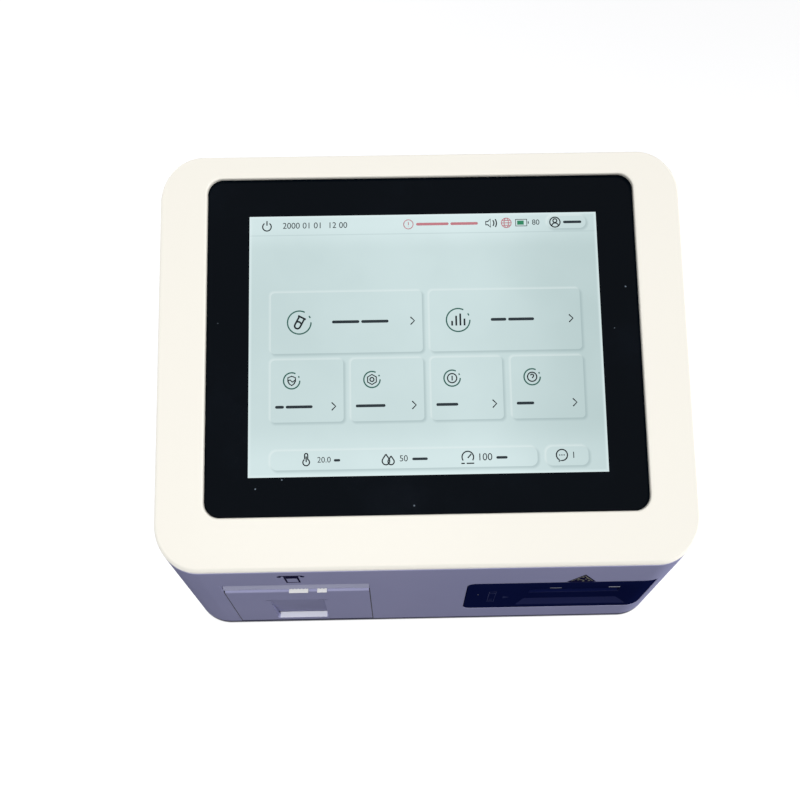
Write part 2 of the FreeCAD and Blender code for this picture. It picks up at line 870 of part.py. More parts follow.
def printer_door():
    """Flush door with a finger scoop outside, and hinge knuckles and platen arms inside."""
    plate = box(door_left, door_right, 0, door_plate, door_bottom, door_top)
    top_edge = [e for e in edges_along(plate, AXIS_X)
                if e.CenterOfMass.y < depth(door_plate / 2) and e.CenterOfMass.z > height(door_top / 2)]
    plate = plate.makeFillet(door_edge_radius, top_edge)
    scoop_left = scoop_centre - scoop_width / 2
    scoop_right = scoop_centre + scoop_width / 2
    back = [(door_plate, scoop_bottom - scoop_wall), (scoop_depth + scoop_wall, scoop_bottom - scoop_wall),
            (scoop_depth + scoop_wall, scoop_bottom + scoop_wall), (door_plate, scoop_top)]
    pieces = [plate, prism_x(back, scoop_left - scoop_wall, scoop_right + scoop_wall)]
    for side in (-1, 1):
        pieces += door_side(side)
    door = fuse_all(pieces)
    ramp = [(-overrun, scoop_bottom), (scoop_depth, scoop_bottom), (0, scoop_top), (-overrun, scoop_top)]
    cutter = rounded(prism_x(ramp, scoop_left, scoop_right), AXIS_Y, scoop_corner)
    door = door.cut(cutter)
    bores = [rod_x(hinge_depth, hinge_height, hinge_pin_radius + running_gap,
                   printer_x - bay_half_width, printer_x + bay_half_width),
             rod_x(platen_depth, platen_height, platen_shaft_radius + running_gap,
                   printer_x - bay_half_width, printer_x + bay_half_width)]
    return door.cut(group(bores))


def door_side(side):
    """Knuckle, rib and platen arm of one side of the door."""
    def span(near, far):
        edges = (printer_x + side * near, printer_x + side * far)
        return min(edges), max(edges)
    x0, x1 = span(knuckle_inner, knuckle_outer)
    knuckle = rod_x(hinge_depth, hinge_height, knuckle_radius, x0, x1)
    knuckle = knuckle.common(box(x0, x1, 0, body_depth, 0, body_height))
    web = box(x0, x1, door_plate / 2, hinge_depth, door_bottom, hinge_height + knuckle_radius)
    x0, x1 = span(arm_inner, arm_outer)
    arm_top = platen_height + arm_boss_radius
    nose = arm_boss_radius * arm_nose_share
    arm = [(door_plate / 2, arm_base), (platen_depth, platen_height - arm_boss_radius),
           (platen_depth + nose, platen_height - nose), (platen_depth + arm_boss_radius, platen_height),
           (platen_depth + nose, platen_height + nose), (platen_depth, arm_top),
           (door_plate / 2, arm_top)]
    rib = box(x0, x1, door_plate / 2, door_plate + door_rib_depth, hinge_height, arm_base + door_rib_depth)
    return [knuckle, web, prism_x(arm, x0, x1), rib]


def tear_bar():
    """Sloped lip above the paper exit, with a fine toothed edge."""
    x0 = door_left - door_gap + slip_gap
    x1 = door_right + door_gap - slip_gap
    profile = [(tear_bar_set_low, tear_bar_low), (tear_bar_set_high, tear_bar_high - slip_gap),
               (tear_bar_depth, tear_bar_high - slip_gap), (tear_bar_depth, tear_bar_low)]
    bar = prism_x(profile, x0, x1)
    ears = box(x0 - tear_bar_ear, x1 + tear_bar_ear, wall, wall + tear_bar_ear_depth, tear_bar_low,
               tear_bar_high)
    bar = fuse_all([bar, ears])
    count = int((roll_width - tooth_pitch) / tooth_pitch)
    first = printer_x - count * tooth_pitch / 2
    notches = []
    for i in range(count):
        left = first + i * tooth_pitch
        corners = [Vector(left, depth(-overrun), height(tear_bar_low)),
                   Vector(left + tooth_pitch / 2, depth(-overrun), height(tear_bar_low + tooth_height)),
                   Vector(left + tooth_pitch, depth(-overrun), height(tear_bar_low))]
        notch = Part.Face(Part.makePolygon(corners + corners[:1]))
        notches.append(notch.extrude(AXIS_Y * (overrun + tear_bar_set_high)))
    return bar.cut(group(notches))


def paper_roll():
    """Wound paper round its core."""
    x0 = printer_x - roll_width / 2
    x1 = printer_x + roll_width / 2
    roll = rod_x(roll_depth, roll_height, roll_radius, x0, x1)
    return roll.cut(bar_x(roll_depth, roll_height, roll_core_radius, x0, x1, roll_core_sides))


def roll_core():
    """Cardboard tube in the paper roll."""
    x0 = printer_x - roll_width / 2
    x1 = printer_x + roll_width / 2
    core = bar_x(roll_depth, roll_height, roll_core_radius, x0, x1, roll_core_sides)
    return core.cut(bar_x(roll_depth, roll_height, roll_core_bore, x0, x1, roll_core_sides))


def paper_strip():
    """Paper from the roll, up past the platen and out over the door, with its torn end."""
    outer = strip_turn_radius + strip_thickness
    centre_d = strip_depth - strip_turn_radius
    centre_h = strip_out_height - strip_turn_radius
    x0 = printer_x - strip_half_width
    x1 = printer_x + strip_half_width
    rise = box(x0, x1, strip_depth, strip_depth + strip_thickness, roll_height, centre_h)
    turn = rod_x(centre_d, centre_h, outer, x0, x1).cut(rod_x(centre_d, centre_h, strip_turn_radius, x0, x1))
    turn = turn.common(box(x0, x1, centre_d, centre_d + outer, centre_h, centre_h + outer))
    lead = box(x0, x1, tab_setback, centre_d, strip_out_height, strip_out_height + strip_thickness)
    tabs = []
    for centre, width in ((printer_x + tab_shift, tab_width),
                          (printer_x + small_tab_shift, small_tab_width)):
        tabs.append(box(centre - width / 2, centre + width / 2, -paper_proud, tab_setback,
                        strip_out_height, strip_out_height + strip_thickness))
    return fuse_all([rise, turn, lead] + tabs)


def platen_shaft():
    """Steel shaft of the platen, through both arms and the gear."""
    return rod_x(platen_depth, platen_height, platen_shaft_radius, printer_x - arm_outer - fit_gap,
                 printer_x + gear_outer)


def platen_rubber():
    """Rubber sleeve of the platen."""
    x0 = printer_x - platen_length / 2
    x1 = printer_x + platen_length / 2
    sleeve = rod_x(platen_depth, platen_height, platen_radius, x0, x1)
    return sleeve.cut(rod_x(platen_depth, platen_height, platen_shaft_radius, x0, x1))


def idler_place():
    """Depth and height of the idler, in mesh with both the platen's gear and the pinion."""
    near = gear_module * (platen_teeth + idler_teeth) / 2
    far = gear_module * (idler_teeth + pinion_teeth) / 2
    run = motor_depth - platen_depth
    rise = motor_height - platen_height
    span = math.hypot(run, rise)
    along = (near * near - far * far + span * span) / (span * 2)
    off = math.sqrt(near * near - along * along)
    return (platen_depth + (along * run - off * rise) / span,
            platen_height + (along * rise + off * run) / span)


def gear_phases():
    """Turn of each gear about +X that puts the teeth in mesh at rest."""
    d, h = idler_place()
    to_idler = math.atan2(h - platen_height, d - platen_depth)
    to_pinion = math.atan2(motor_height - h, motor_depth - d)
    idler_phase = to_idler + math.pi - math.pi / idler_teeth
    step = math.tau / idler_teeth
    lag = (idler_phase - to_pinion) % step
    pinion_phase = to_pinion + math.pi - lag * idler_teeth / pinion_teeth - math.pi / pinion_teeth
    return to_idler, idler_phase, pinion_phase


def gear(teeth, phase, d, h, bore):
    """Spur gear on the printer's drive side."""
    pitch_radius = gear_module * teeth / 2
    tip = pitch_radius + gear_module * addendum_share
    root = pitch_radius - gear_module * dedendum_share
    half_step = math.pi / teeth
    points = []
    for i in range(teeth):
        middle = phase + math.tau * i / teeth
        for radius, share in ((root, -tooth_root_share), (tip, -tooth_tip_share),
                              (tip, tooth_tip_share), (root, tooth_root_share)):
            angle = middle + half_step * share
            points.append((d + radius * math.cos(angle), h + radius * math.sin(angle)))
    wheel = prism_x(points, printer_x + gear_inner, printer_x + gear_outer)
    return wheel.cut(rod_x(d, h, bore, printer_x + gear_inner, printer_x + gear_outer))


def platen_gear():
    return gear(platen_teeth, gear_phases()[0], platen_depth, platen_height, platen_shaft_radius)


def idler_gear():
    d, h = idler_place()
    return gear(idler_teeth, gear_phases()[1], d, h, idler_shaft_radius + running_gap)


def motor_pinion():
    """Brass pinion with the motor's shaft."""
    pinion = gear(pinion_teeth, gear_phases()[2], motor_depth, motor_height, motor_shaft_radius)
    shaft = rod_x(motor_depth, motor_height, motor_shaft_radius,
                  printer_x + frame_inner - motor_flange, printer_x + gear_outer)
    return fuse_all([pinion, shaft])


def printer_frame():
    """Folded sheet frame of the print mechanism: two cheeks, a top and a rear flange."""
    rear_low = roll_height + roll_radius + frame_roll_gap
    cheek = [(frame_front_depth, frame_low),
             (frame_front_depth + frame_foot_length, frame_low + frame_foot_length),
             (frame_rear_depth, rear_low), (frame_rear_depth, frame_top), (frame_front_depth, frame_top)]
    pieces = []
    for side in (-1, 1):
        near = printer_x + side * frame_inner
        far = near + side * frame_sheet
        pieces.append(prism_x(cheek, min(near, far), max(near, far)))
    x0 = printer_x - frame_inner - frame_sheet
    x1 = printer_x + frame_inner + frame_sheet
    pieces.append(box(x0, x1, frame_front_depth, frame_rear_depth, frame_top - frame_sheet, frame_top))
    pieces.append(box(x0, x1, frame_rear_depth - frame_sheet, frame_rear_depth, rear_low, frame_top))
    pieces.append(box(x0, x1, frame_rear_depth - frame_sheet, bay_rear_depth, bay_rear_height,
                      bay_rear_height + frame_sheet))
    d, h = idler_place()
    pieces.append(rod_x(d, h, idler_shaft_radius, printer_x + frame_inner, printer_x + gear_outer + fit_gap))
    frame = fuse_all(pieces)
    holes = [rod_x(motor_depth, motor_height, motor_shaft_radius + fit_gap, printer_x,
                   printer_x + gear_outer),
             rod_x(head_pivot_depth, head_pivot_height, head_pivot_radius + running_gap,
                   printer_x - bay_half_width, printer_x + bay_half_width)]
    return frame.cut(group(holes))


def printer_motor():
    """Eight-sided stepper can on the frame's drive cheek."""
    x1 = printer_x + frame_inner
    far = motor_radius
    near = motor_radius * motor_corner_share
    outline = [(far, near), (near, far), (-near, far), (-far, near),
               (-far, -near), (-near, -far), (near, -far), (far, -near)]
    can = prism_x([(motor_depth + d, motor_height + h) for d, h in outline], x1 - motor_length, x1)
    bore = rod_x(motor_depth, motor_height, motor_shaft_radius + running_gap, x1 - motor_flange - fit_gap,
                 x1)
    return can.cut(bore)


def print_head():
    """Thermal head strip that faces the platen."""
    x0 = printer_x - head_half_width
    x1 = printer_x + head_half_width
    return box(x0, x1, head_face_depth, head_face_depth + head_plate_thickness, head_low, head_high)


def head_heatsink():
    """Finned backing of the print head, on its pivot rod."""
    x0 = printer_x - head_half_width
    x1 = printer_x + head_half_width
    front = head_face_depth + head_plate_thickness
    pieces = [box(x0, x1, front, front + heatsink_thickness, head_low, head_high),
              rod_x(head_pivot_depth, head_pivot_height, head_pivot_radius,
                    printer_x - head_pivot_reach, printer_x + head_pivot_reach)]
    back = front + heatsink_thickness
    for i in range(fin_count):
        centre = x0 + (x1 - x0) * (i + 1) / (fin_count + 1)
        pieces.append(box(centre - fin_wall / 2, centre + fin_wall / 2, back, back + fin_depth,
                          head_low + fin_depth + fin_depth, head_high))
    return fuse_all(pieces)


def head_springs():
    """Two leaf springs that hang from the frame's top behind the head."""
    start = head_face_depth + head_plate_thickness + heatsink_thickness + fin_depth + leaf_gap
    leaves = []
    for side in (-1, 1):
        centre = printer_x + side * leaf_offset
        leaf = box(centre - leaf_half_width, centre + leaf_half_width, start, start + leaf_sheet,
                   head_high - leaf_half_width, frame_top - frame_sheet)
        foot = box(centre - leaf_half_width, centre + leaf_half_width, start, start + leaf_half_width,
                   frame_top - frame_sheet - leaf_sheet, frame_top - frame_sheet)
        leaves.append(fuse_all([leaf, foot]))
    return group(leaves)


def card_guide():
    """Channel behind the slot, with windows for the contacts and the heater."""
    x0 = slot_left - guide_wall
    x1 = slot_right + guide_wall
    front = recess_depth + recess_back_wall + fit_gap
    low = slot_low - guide_plate
    high = slot_high + guide_plate
    guide = box(x0, x1, front, guide_rear_depth, low, high)
    channel = box(slot_left - slip_gap, slot_right + slip_gap, front - overrun,
                  guide_rear_depth - guide_stop, slot_low - slip_gap, slot_high + slip_gap)
    window = box(window_left, window_right, window_front_depth, window_rear_depth, low - overrun,
                 high + overrun)
    lead = [(front - fit_gap, slot_low - guide_lead_in), (front + guide_lead_in, slot_low),
            (front + guide_lead_in, slot_high), (front - fit_gap, slot_high + guide_lead_in)]
    mouth = prism_x(lead, slot_left - slip_gap, slot_right + slip_gap)
    return guide.cut(group([channel, window, mouth]))


def guide_posts():
    """Four six-sided posts that carry the card guide on the tray."""
    x0 = slot_left - guide_wall + guide_post_inset
    x1 = slot_right + guide_wall - guide_post_inset
    d0 = recess_depth + recess_back_wall + fit_gap + guide_post_inset
    d1 = guide_rear_depth - guide_post_inset
    return group([bar_z(x, d, guide_post_radius, tray_thickness, slot_low - guide_plate)
                  for x in (x0, x1) for d in (d0, d1)])


def heater_plate():
    """Heated plate that fills the guide's lower window, on a spacer post from the tray."""
    x0 = window_left + slip_gap
    x1 = window_right - slip_gap
    d0 = window_front_depth + slip_gap
    d1 = window_rear_depth - slip_gap
    top = slot_low - slip_gap - heater_drop
    plate = box(x0, x1, d0, d1, top - heater_thickness, top)
    post = bar_z((x0 + x1) / 2, (d0 + d1) / 2, heater_pin_radius, tray_thickness, top - heater_thickness)
    return fuse_all([plate, post])


def contact_centre():
    """X and depth of the contact head's middle."""
    return (window_left + window_right) / 2, (window_front_depth + window_rear_depth) / 2


def contact_head():
    """Block that lowers the contacts onto a card, on two guide rods and a screw."""
    x, d = contact_centre()
    low = contact_low
    block = box(x - contact_block / 2, x + contact_block / 2, d - contact_block_depth / 2,
                d + contact_block_depth / 2, low, low + contact_block_height)
    reach_x = guide_rod_offset + contact_ear_end
    ears = box(x - reach_x, x + reach_x, d - contact_ear_half_depth, d + contact_ear_half_depth, low,
               low + contact_ear_height)
    head = fuse_all([block, ears])
    bores = [bar_z(x + side * guide_rod_offset, d, guide_rod_radius + running_gap, 0, body_height)
             for side in (-1, 1)]
    bores.append(rod_z(x, d + screw_offset_depth, screw_radius + running_gap, 0, body_height))
    return head.cut(group(bores))


def contact_pins():
    """Rows of square sprung pins under the contact head."""
    x, d = contact_centre()
    low = contact_low
    pins = []
    for row in range(pin_rows):
        for column in range(pin_columns):
            px = x + (column - (pin_columns - 1) / 2) * pin_pitch
            pd = d + (row - (pin_rows - 1)) * pin_pitch
            pins.append(box(px - pin_width / 2, px + pin_width / 2, pd - pin_width / 2, pd + pin_width / 2,
                            low - pin_length, low))
    return group(pins)


def guide_rods():
    """Two six-sided rods between the guide and the bridge."""
    x, d = contact_centre()
    low = slot_high + guide_plate
    return group([bar_z(x + side * guide_rod_offset, d, guide_rod_radius, low, bridge_low)
                  for side in (-1, 1)])


def head_bridge():
    """Bridge over the contact head, on two legs from the guide."""
    x0 = slot_left - guide_wall
    x1 = slot_right + guide_wall
    low = slot_high + guide_plate
    plate = box(x0, x1, bridge_front_depth, bridge_rear_depth, bridge_low, bridge_low + bridge_thickness)
    legs = [box(x, x + bridge_leg, bridge_front_depth, bridge_rear_depth, low, bridge_low)
            for x in (x0, x1 - bridge_leg)]
    x, d = contact_centre()
    hole = box(x - screw_hole_half, x + screw_hole_half, d + screw_offset_depth - screw_hole_half,
               d + screw_offset_depth + screw_hole_half, low, bridge_low + bridge_thickness)
    return fuse_all([plate] + legs).cut(hole)


def lead_screw():
    """Screw that lowers the contact head."""
    x, d = contact_centre()
    low = slot_high + guide_plate + screw_end_gap
    high = bridge_low + bridge_thickness + clamp_motor_bore_depth - fit_gap
    return rod_z(x, d + screw_offset_depth, screw_radius, low, high)


def clamp_motor():
    """Motor on the bridge that turns the screw."""
    x, d = contact_centre()
    d += screw_offset_depth
    low = bridge_low + bridge_thickness
    front = d - clamp_plate_half
    stack = (lcd_back + bracket_sheet) / math.cos(slope)
    high = front_height + front * math.tan(slope) - stack - clamp_motor_clearance
    plate = box(x - clamp_plate_half, x + clamp_plate_half, d - clamp_plate_half, d + clamp_plate_half, low,
                low + clamp_plate_thickness)
    can = box(x - clamp_motor_half, x + clamp_motor_half, d - clamp_motor_half, d + clamp_motor_half,
              low, high)
    bore = box(x - screw_hole_half, x + screw_hole_half, d - screw_hole_half, d + screw_hole_half, low,
               low + clamp_motor_bore_depth)
    return fuse_all([plate, can]).cut(bore)


def board_corners():
    """Places of the main board's four screws."""
    return [(x, d) for x in (board_left + standoff_inset, board_right - standoff_inset)
            for d in (board_front_depth + standoff_inset, board_rear_depth - standoff_inset)]


def main_board():
    """Main circuit board with its larger chips."""
    board = box(board_left, board_right, board_front_depth, board_rear_depth, board_height, board_top)
    chips = []
    for (sx, sd, sz), x_share, y_share in zip(chip_sizes, chip_x_shares, chip_y_shares):
        x = board_left + (board_right - board_left) * x_share
        d = board_front_depth + (board_rear_depth - board_front_depth) * y_share
        chips.append(box(x - sx / 2, x + sx / 2, d - sd / 2, d + sd / 2, board_top, board_top + sz))
    board = fuse_all([board] + chips)
    holes = [bar_z(x, d, small_screw_radius, board_height, board_top) for x, d in board_corners()]
    return board.cut(group(holes))


def board_standoffs():
    """Four six-sided pillars between the tray and the main board."""
    pillars = []
    for x, d in board_corners():
        pillar = bar_z(x, d, standoff_radius, tray_thickness, board_height)
        bore = bar_z(x, d, small_screw_radius, board_height - small_screw_depth, board_height)
        pillars.append(pillar.cut(bore))
    return group(pillars)


def board_screws():
    """Four screws that hold the main board."""
    screws = []
    for x, d in board_corners():
        head = bar_z(x, d, small_head_radius, board_top, board_top + small_head_height)
        shank = bar_z(x, d, small_screw_radius, board_height - small_screw_depth, board_top)
        screws.append(fuse_all([head, shank]))
    return group(screws)


def battery_pack():
    """Battery behind the printer."""
    low = tray_thickness + battery_sheet
    pack = box(battery_left, battery_right, battery_front_depth, battery_rear_depth, low,
               low + battery_thickness)
    return rounded(pack, AXIS_Y, battery_corner)


def battery_bracket():
    """Floor sheet under the battery, with two straps over it."""
    x0 = battery_left - battery_side_gap - battery_sheet
    x1 = battery_right + battery_side_gap + battery_sheet
    floor = box(x0, x1, battery_front_depth, battery_rear_depth, tray_thickness,
                tray_thickness + battery_sheet)
    top = tray_thickness + battery_sheet + battery_thickness + battery_side_gap
    pieces = [floor]
    for share in battery_strap_depth_shares:
        centre = battery_front_depth + (battery_rear_depth - battery_front_depth) * share
        d0 = centre - battery_strap_width / 2
        d1 = centre + battery_strap_width / 2
        pieces.append(box(x0, x0 + battery_sheet, d0, d1, tray_thickness, top + battery_sheet))
        pieces.append(box(x1 - battery_sheet, x1, d0, d1, tray_thickness, top + battery_sheet))
        pieces.append(box(x0, x1, d0, d1, top, top + battery_sheet))
        pieces.append(box(x1 - battery_sheet, x1 + battery_flange, d0, d1, tray_thickness,
                          tray_thickness + battery_sheet))
    return fuse_all(pieces)


def speaker():
    """Loudspeaker over the tray's holes."""
    low = tray_thickness
    basket = bar_z(speaker_x, speaker_depth, speaker_radius, low, low + speaker_height, speaker_sides)
    magnet = bar_z(speaker_x, speaker_depth, speaker_magnet_radius, low + speaker_height,
                   low + speaker_height + speaker_magnet_height, speaker_sides)
    return fuse_all([basket, magnet])


def lan_port():
    """Network socket with a keyed mouth."""
    low = board_top
    body = box(lan_x - lan_width / 2, lan_x + lan_width / 2, pocket_floor - lan_length, pocket_floor, low,
               low + lan_height)
    middle = low + lan_height / 2
    mouth = box(lan_x - lan_mouth_width / 2, lan_x + lan_mouth_width / 2, pocket_floor - lan_mouth_depth,
                pocket_floor, middle - lan_mouth_height / 2, middle + lan_mouth_height / 2)
    key = box(lan_x - lan_key_width / 2, lan_x + lan_key_width / 2, pocket_floor - lan_mouth_depth,
              pocket_floor, middle - lan_mouth_height / 2 - lan_key_height, middle)
    return body.cut(group([mouth, key]))


def usb_ports():
    """Two USB sockets with their tongues."""
    ports = []
    low = board_top
    for x in usb_x:
        x0 = x - usb_width / 2
        x1 = x + usb_width / 2
        body = box(x0, x1, pocket_floor - usb_length, pocket_floor, low, low + usb_height)
        mouth = box(x0 + usb_sheet, x1 - usb_sheet, pocket_floor - usb_mouth_depth, pocket_floor,
                    low + usb_sheet, low + usb_height - usb_sheet)
        tongue = box(x - usb_tongue_width / 2, x + usb_tongue_width / 2, pocket_floor - usb_mouth_depth,
                     pocket_floor - usb_sheet, low + usb_height - usb_sheet - usb_tongue - usb_sheet,
                     low + usb_height - usb_sheet - usb_sheet)
        ports.append(fuse_all([body.cut(mouth), tongue]))
    return group(ports)


def power_inlet():
    """Low-voltage inlet with its centre pin."""
    low = board_top
    middle = low + inlet_height / 2
    body = box(inlet_x - inlet_width / 2, inlet_x + inlet_width / 2, pocket_floor - inlet_length,
               pocket_floor, low, low + inlet_height)
    bore = rod_y(inlet_x, middle, inlet_bore_radius, pocket_floor - inlet_bore_depth, pocket_floor)
    pin = rod_y(inlet_x, middle, inlet_pin_radius, pocket_floor - inlet_bore_depth - fit_gap,
                pocket_floor - fit_gap)
    return fuse_all([body.cut(bore), pin])


def switch_frame():
    """Frame of the power switch, clipped into the pocket's floor."""
    flange = box(switch_x - switch_width / 2, switch_x + switch_width / 2, pocket_floor,
                 pocket_floor + switch_flange, switch_height - switch_tall / 2,
                 switch_height + switch_tall / 2)
    body = box(switch_x - switch_body_width / 2, switch_x + switch_body_width / 2,
               pocket_floor - switch_body_depth, pocket_floor, switch_height - switch_body_tall / 2,
               switch_height + switch_body_tall / 2)
    frame = fuse_all([rounded(flange, AXIS_Y, pocket_corner / 2), body])
    half_tall = rocker_half_tall + rocker_side_gap
    well = box(switch_x - rocker_half_width - fit_gap, switch_x + rocker_half_width + fit_gap,
               pocket_floor - rocker_depth - rocker_depth, pocket_floor + overrun,
               switch_height - half_tall, switch_height + half_tall)
    axle = bar_x(pocket_floor - rocker_pivot_in, switch_height, rocker_hole_radius,
                 switch_x - rocker_axle_reach - fit_gap, switch_x + rocker_axle_reach + fit_gap,
                 rocker_hole_sides)
    return frame.cut(group([well, axle]))


def switch_rocker():
    """Rocker of the power switch, with its upper half pressed in."""
    face = pocket_floor + switch_flange
    pivot = pocket_floor - rocker_pivot_in
    outline = [(pivot - rocker_depth / 2, -rocker_half_tall / 2), (face, -rocker_half_tall),
               (face + rocker_crown / 2, 0), (face, rocker_half_tall),
               (pivot - rocker_depth / 2, rocker_half_tall / 2)]
    points = [(d, switch_height + h) for d, h in outline]
    rocker = prism_x(points, switch_x - rocker_half_width, switch_x + rocker_half_width)
    axle = rod_x(pivot, switch_height, rocker_axle_radius, switch_x - rocker_axle_reach,
                 switch_x + rocker_axle_reach)
    rocker = fuse_all([rocker, axle])
    centre = Vector(switch_x, depth(pivot), height(switch_height))
    rocker.rotate(centre, AXIS_X, rocker_swing_deg / 2)
    return rocker


NODES = [main_housing, base_tray, screen_bezel, cover_glass, glass_gasket, lcd_module, lcd_bracket,
         bracket_screws, rubber_feet, base_screws, main_board, board_standoffs, board_screws, battery_pack,
         battery_bracket, speaker, lan_port, usb_ports, power_inlet, switch_frame, switch_rocker,
         printer_tub, hinge_pins, printer_door, tear_bar, paper_roll, roll_core, paper_strip, platen_shaft,
         platen_rubber, platen_gear, idler_gear, motor_pinion, printer_frame, printer_motor, print_head,
         head_heatsink, head_springs, card_panel, slot_lights, card_guide, guide_posts, heater_plate,
         contact_head, contact_pins, guide_rods, head_bridge, lead_screw, clamp_motor]


def main():
    os.makedirs("parts", exist_ok=True)
    for build in NODES:
        build().exportStep("parts/" + build.__name__ + ".step")


main()
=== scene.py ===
"""Looks of a bench-top blood gas analyzer: materials, the lit display, printed signs and fine parts.

Metres, in the part's own frame: X to the right, Y to the back, Z up. Values that are easier to read in
millimetres are written times MM. Things on the sloped face are drawn flat, as (across, up the slope),
and things on the front and back walls as (across, height above the body's lower edge).
"""

import json
import math

import bmesh
import bpy
from mathutils import Euler, Matrix, Vector


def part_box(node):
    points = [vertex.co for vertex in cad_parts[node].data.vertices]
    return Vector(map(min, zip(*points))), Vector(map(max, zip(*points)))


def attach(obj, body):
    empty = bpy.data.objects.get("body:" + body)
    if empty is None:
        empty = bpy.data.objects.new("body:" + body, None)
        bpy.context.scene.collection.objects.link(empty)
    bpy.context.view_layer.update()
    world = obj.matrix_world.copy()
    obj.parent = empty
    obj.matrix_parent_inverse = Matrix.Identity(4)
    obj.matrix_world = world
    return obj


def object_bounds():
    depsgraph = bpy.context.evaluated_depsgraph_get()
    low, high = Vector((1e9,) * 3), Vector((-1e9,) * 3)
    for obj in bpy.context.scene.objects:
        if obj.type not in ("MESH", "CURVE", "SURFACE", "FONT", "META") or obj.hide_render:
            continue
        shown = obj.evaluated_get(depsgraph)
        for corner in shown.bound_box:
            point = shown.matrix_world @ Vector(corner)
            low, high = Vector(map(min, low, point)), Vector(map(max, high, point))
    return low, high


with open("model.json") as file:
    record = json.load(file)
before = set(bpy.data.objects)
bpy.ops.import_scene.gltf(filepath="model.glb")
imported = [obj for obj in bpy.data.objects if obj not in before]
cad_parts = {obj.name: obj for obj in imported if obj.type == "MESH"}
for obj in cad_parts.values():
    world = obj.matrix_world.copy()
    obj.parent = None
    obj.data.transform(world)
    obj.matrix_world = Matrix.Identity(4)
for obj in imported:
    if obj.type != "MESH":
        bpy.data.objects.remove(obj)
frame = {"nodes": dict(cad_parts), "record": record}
cad_low, cad_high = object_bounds()

MM = 0.001

# Body, as in the part's source
BASE_HEIGHT = 3.0 * MM
FRONT_HEIGHT = 77.9 * MM
BODY_CORNER = 19.5 * MM
FACE_SLOPE = math.radians(24.8)
GLASS_DEPTH = 3.1 * MM
DISPLAY_WIDTH = 162.0 * MM
DISPLAY_HEIGHT = 121.3 * MM
DISPLAY_LOW = 40.4 * MM
DISPLAY_SHIFT = 0.9 * MM

# Prints lie one layer above their ground, and drawn strokes are this much flatter than round
LAYER = 0.02 * MM
STROKE_FLATNESS = 0.12

# Camera
CAMERA_PLACE = (-14.15 * MM, -194.30 * MM, 394.40 * MM)
CAMERA_TURN_DEG = (31.852, 0.123, -1.084)
CAMERA_LENS = 33.3

front_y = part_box("main_housing")[0].y
rear_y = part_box("main_housing")[1].y
FACE_TURN = Matrix.Rotation(FACE_SLOPE, 4, "X")
FACE_PLACE = Matrix.Translation((0, front_y, BASE_HEIGHT + FRONT_HEIGHT)) @ FACE_TURN
GLASS_PLACE = FACE_PLACE @ Matrix.Translation((0, 0, -GLASS_DEPTH))
FRONT_PLACE = Matrix.Translation((0, front_y, BASE_HEIGHT)) @ Matrix.Rotation(math.radians(90), 4, "X")
FACING_BACK = Matrix.Rotation(math.radians(180), 4, "Z") @ Matrix.Rotation(math.radians(90), 4, "X")

# Rear sockets and switch, in millimetres as in the part's source: across, depth from the front, height
POCKET_FLOOR = 167.0
BOARD_TOP = 13.6
USB_ACROSS = (54, 71)
LAN_ACROSS = 32.0
LAN_MIDDLE = 20.3
INLET_ACROSS = 88.0
INLET_MIDDLE = 19.1
SWITCH_ACROSS = 6.0
SWITCH_HEIGHT = 23.5
ROCKER_TILT = math.radians(10.0)
CROWN_TILT = math.radians(8.84)

# Main board's chips: centre across, share of the board's depth, half sizes, height
BOARD_CHIPS = ((24.2, 0.35, 13, 13, 2.4), (60.68, 0.30, 9, 7, 1.8), (83.48, 0.62, 6, 6, 1.6))


def spot(across, depth, height):
    """Point given in millimetres as in the part's source, in metres."""
    return Vector((across * MM, front_y + depth * MM, BASE_HEIGHT + height * MM))


def srgb(red, green, blue):
    """Linear colour of an 8-bit display colour."""
    values = []
    for value in (red, green, blue):
        share = value / 255
        values.append(share / 12.92 if share <= 0.04045 else ((share + 0.055) / 1.055) ** 2.4)
    return (*values, 1.0)


class Graph:
    """Adds nodes to one node tree and joins them."""

    def __init__(self, tree):
        self.tree = tree

    def add(self, kind, inputs=None, **settings):
        node = self.tree.nodes.new(kind)
        for name, value in settings.items():
            setattr(node, name, value)
        for key, value in (inputs or {}).items():
            self.put(node.inputs[key], value)
        return node

    def put(self, socket, value):
        if isinstance(value, bpy.types.NodeSocket):
            self.tree.links.new(value, socket)
        else:
            socket.default_value = value

    def math(self, operation, a, b=0.0, clamp=False):
        return self.add("ShaderNodeMath", {0: a, 1: b}, operation=operation, use_clamp=clamp).outputs[0]

    def mix(self, share, a, b, blend="MIX"):
        node = self.add("ShaderNodeMix", {"Factor": share}, data_type="RGBA", blend_type=blend)
        self.put(node.inputs[6], a)
        self.put(node.inputs[7], b)
        return node.outputs[2]

    def fit(self, value, low, high, to_low=0.0, to_high=1.0, kind="SMOOTHSTEP"):
        inputs = {"Value": value, "From Min": low, "From Max": high, "To Min": to_low, "To Max": to_high}
        return self.add("ShaderNodeMapRange", inputs, interpolation_type=kind).outputs[0]

    def noise(self, vector, scale, detail=2.0, roughness=0.5):
        inputs = {"Vector": vector, "Scale": scale, "Detail": detail, "Roughness": roughness}
        return self.add("ShaderNodeTexNoise", inputs).outputs[0]

    def group(self, tree, inputs):
        node = self.tree.nodes.new("ShaderNodeGroup")
        node.node_tree = tree
        for key, value in inputs.items():
            self.put(node.inputs[key], value)
        return node.outputs


def new_group(name, inputs, outputs):
    """Shader node group with named sockets. Returns its tree, its graph, its inputs and its output node."""
    tree = bpy.data.node_groups.new(name, "ShaderNodeTree")
    for side, sockets in (("INPUT", inputs), ("OUTPUT", outputs)):
        for socket, kind in sockets.items():
            tree.interface.new_socket(socket, in_out=side, socket_type="NodeSocket" + kind)
    graph = Graph(tree)
    return tree, graph, graph.add("NodeGroupInput").outputs, graph.add("NodeGroupOutput")


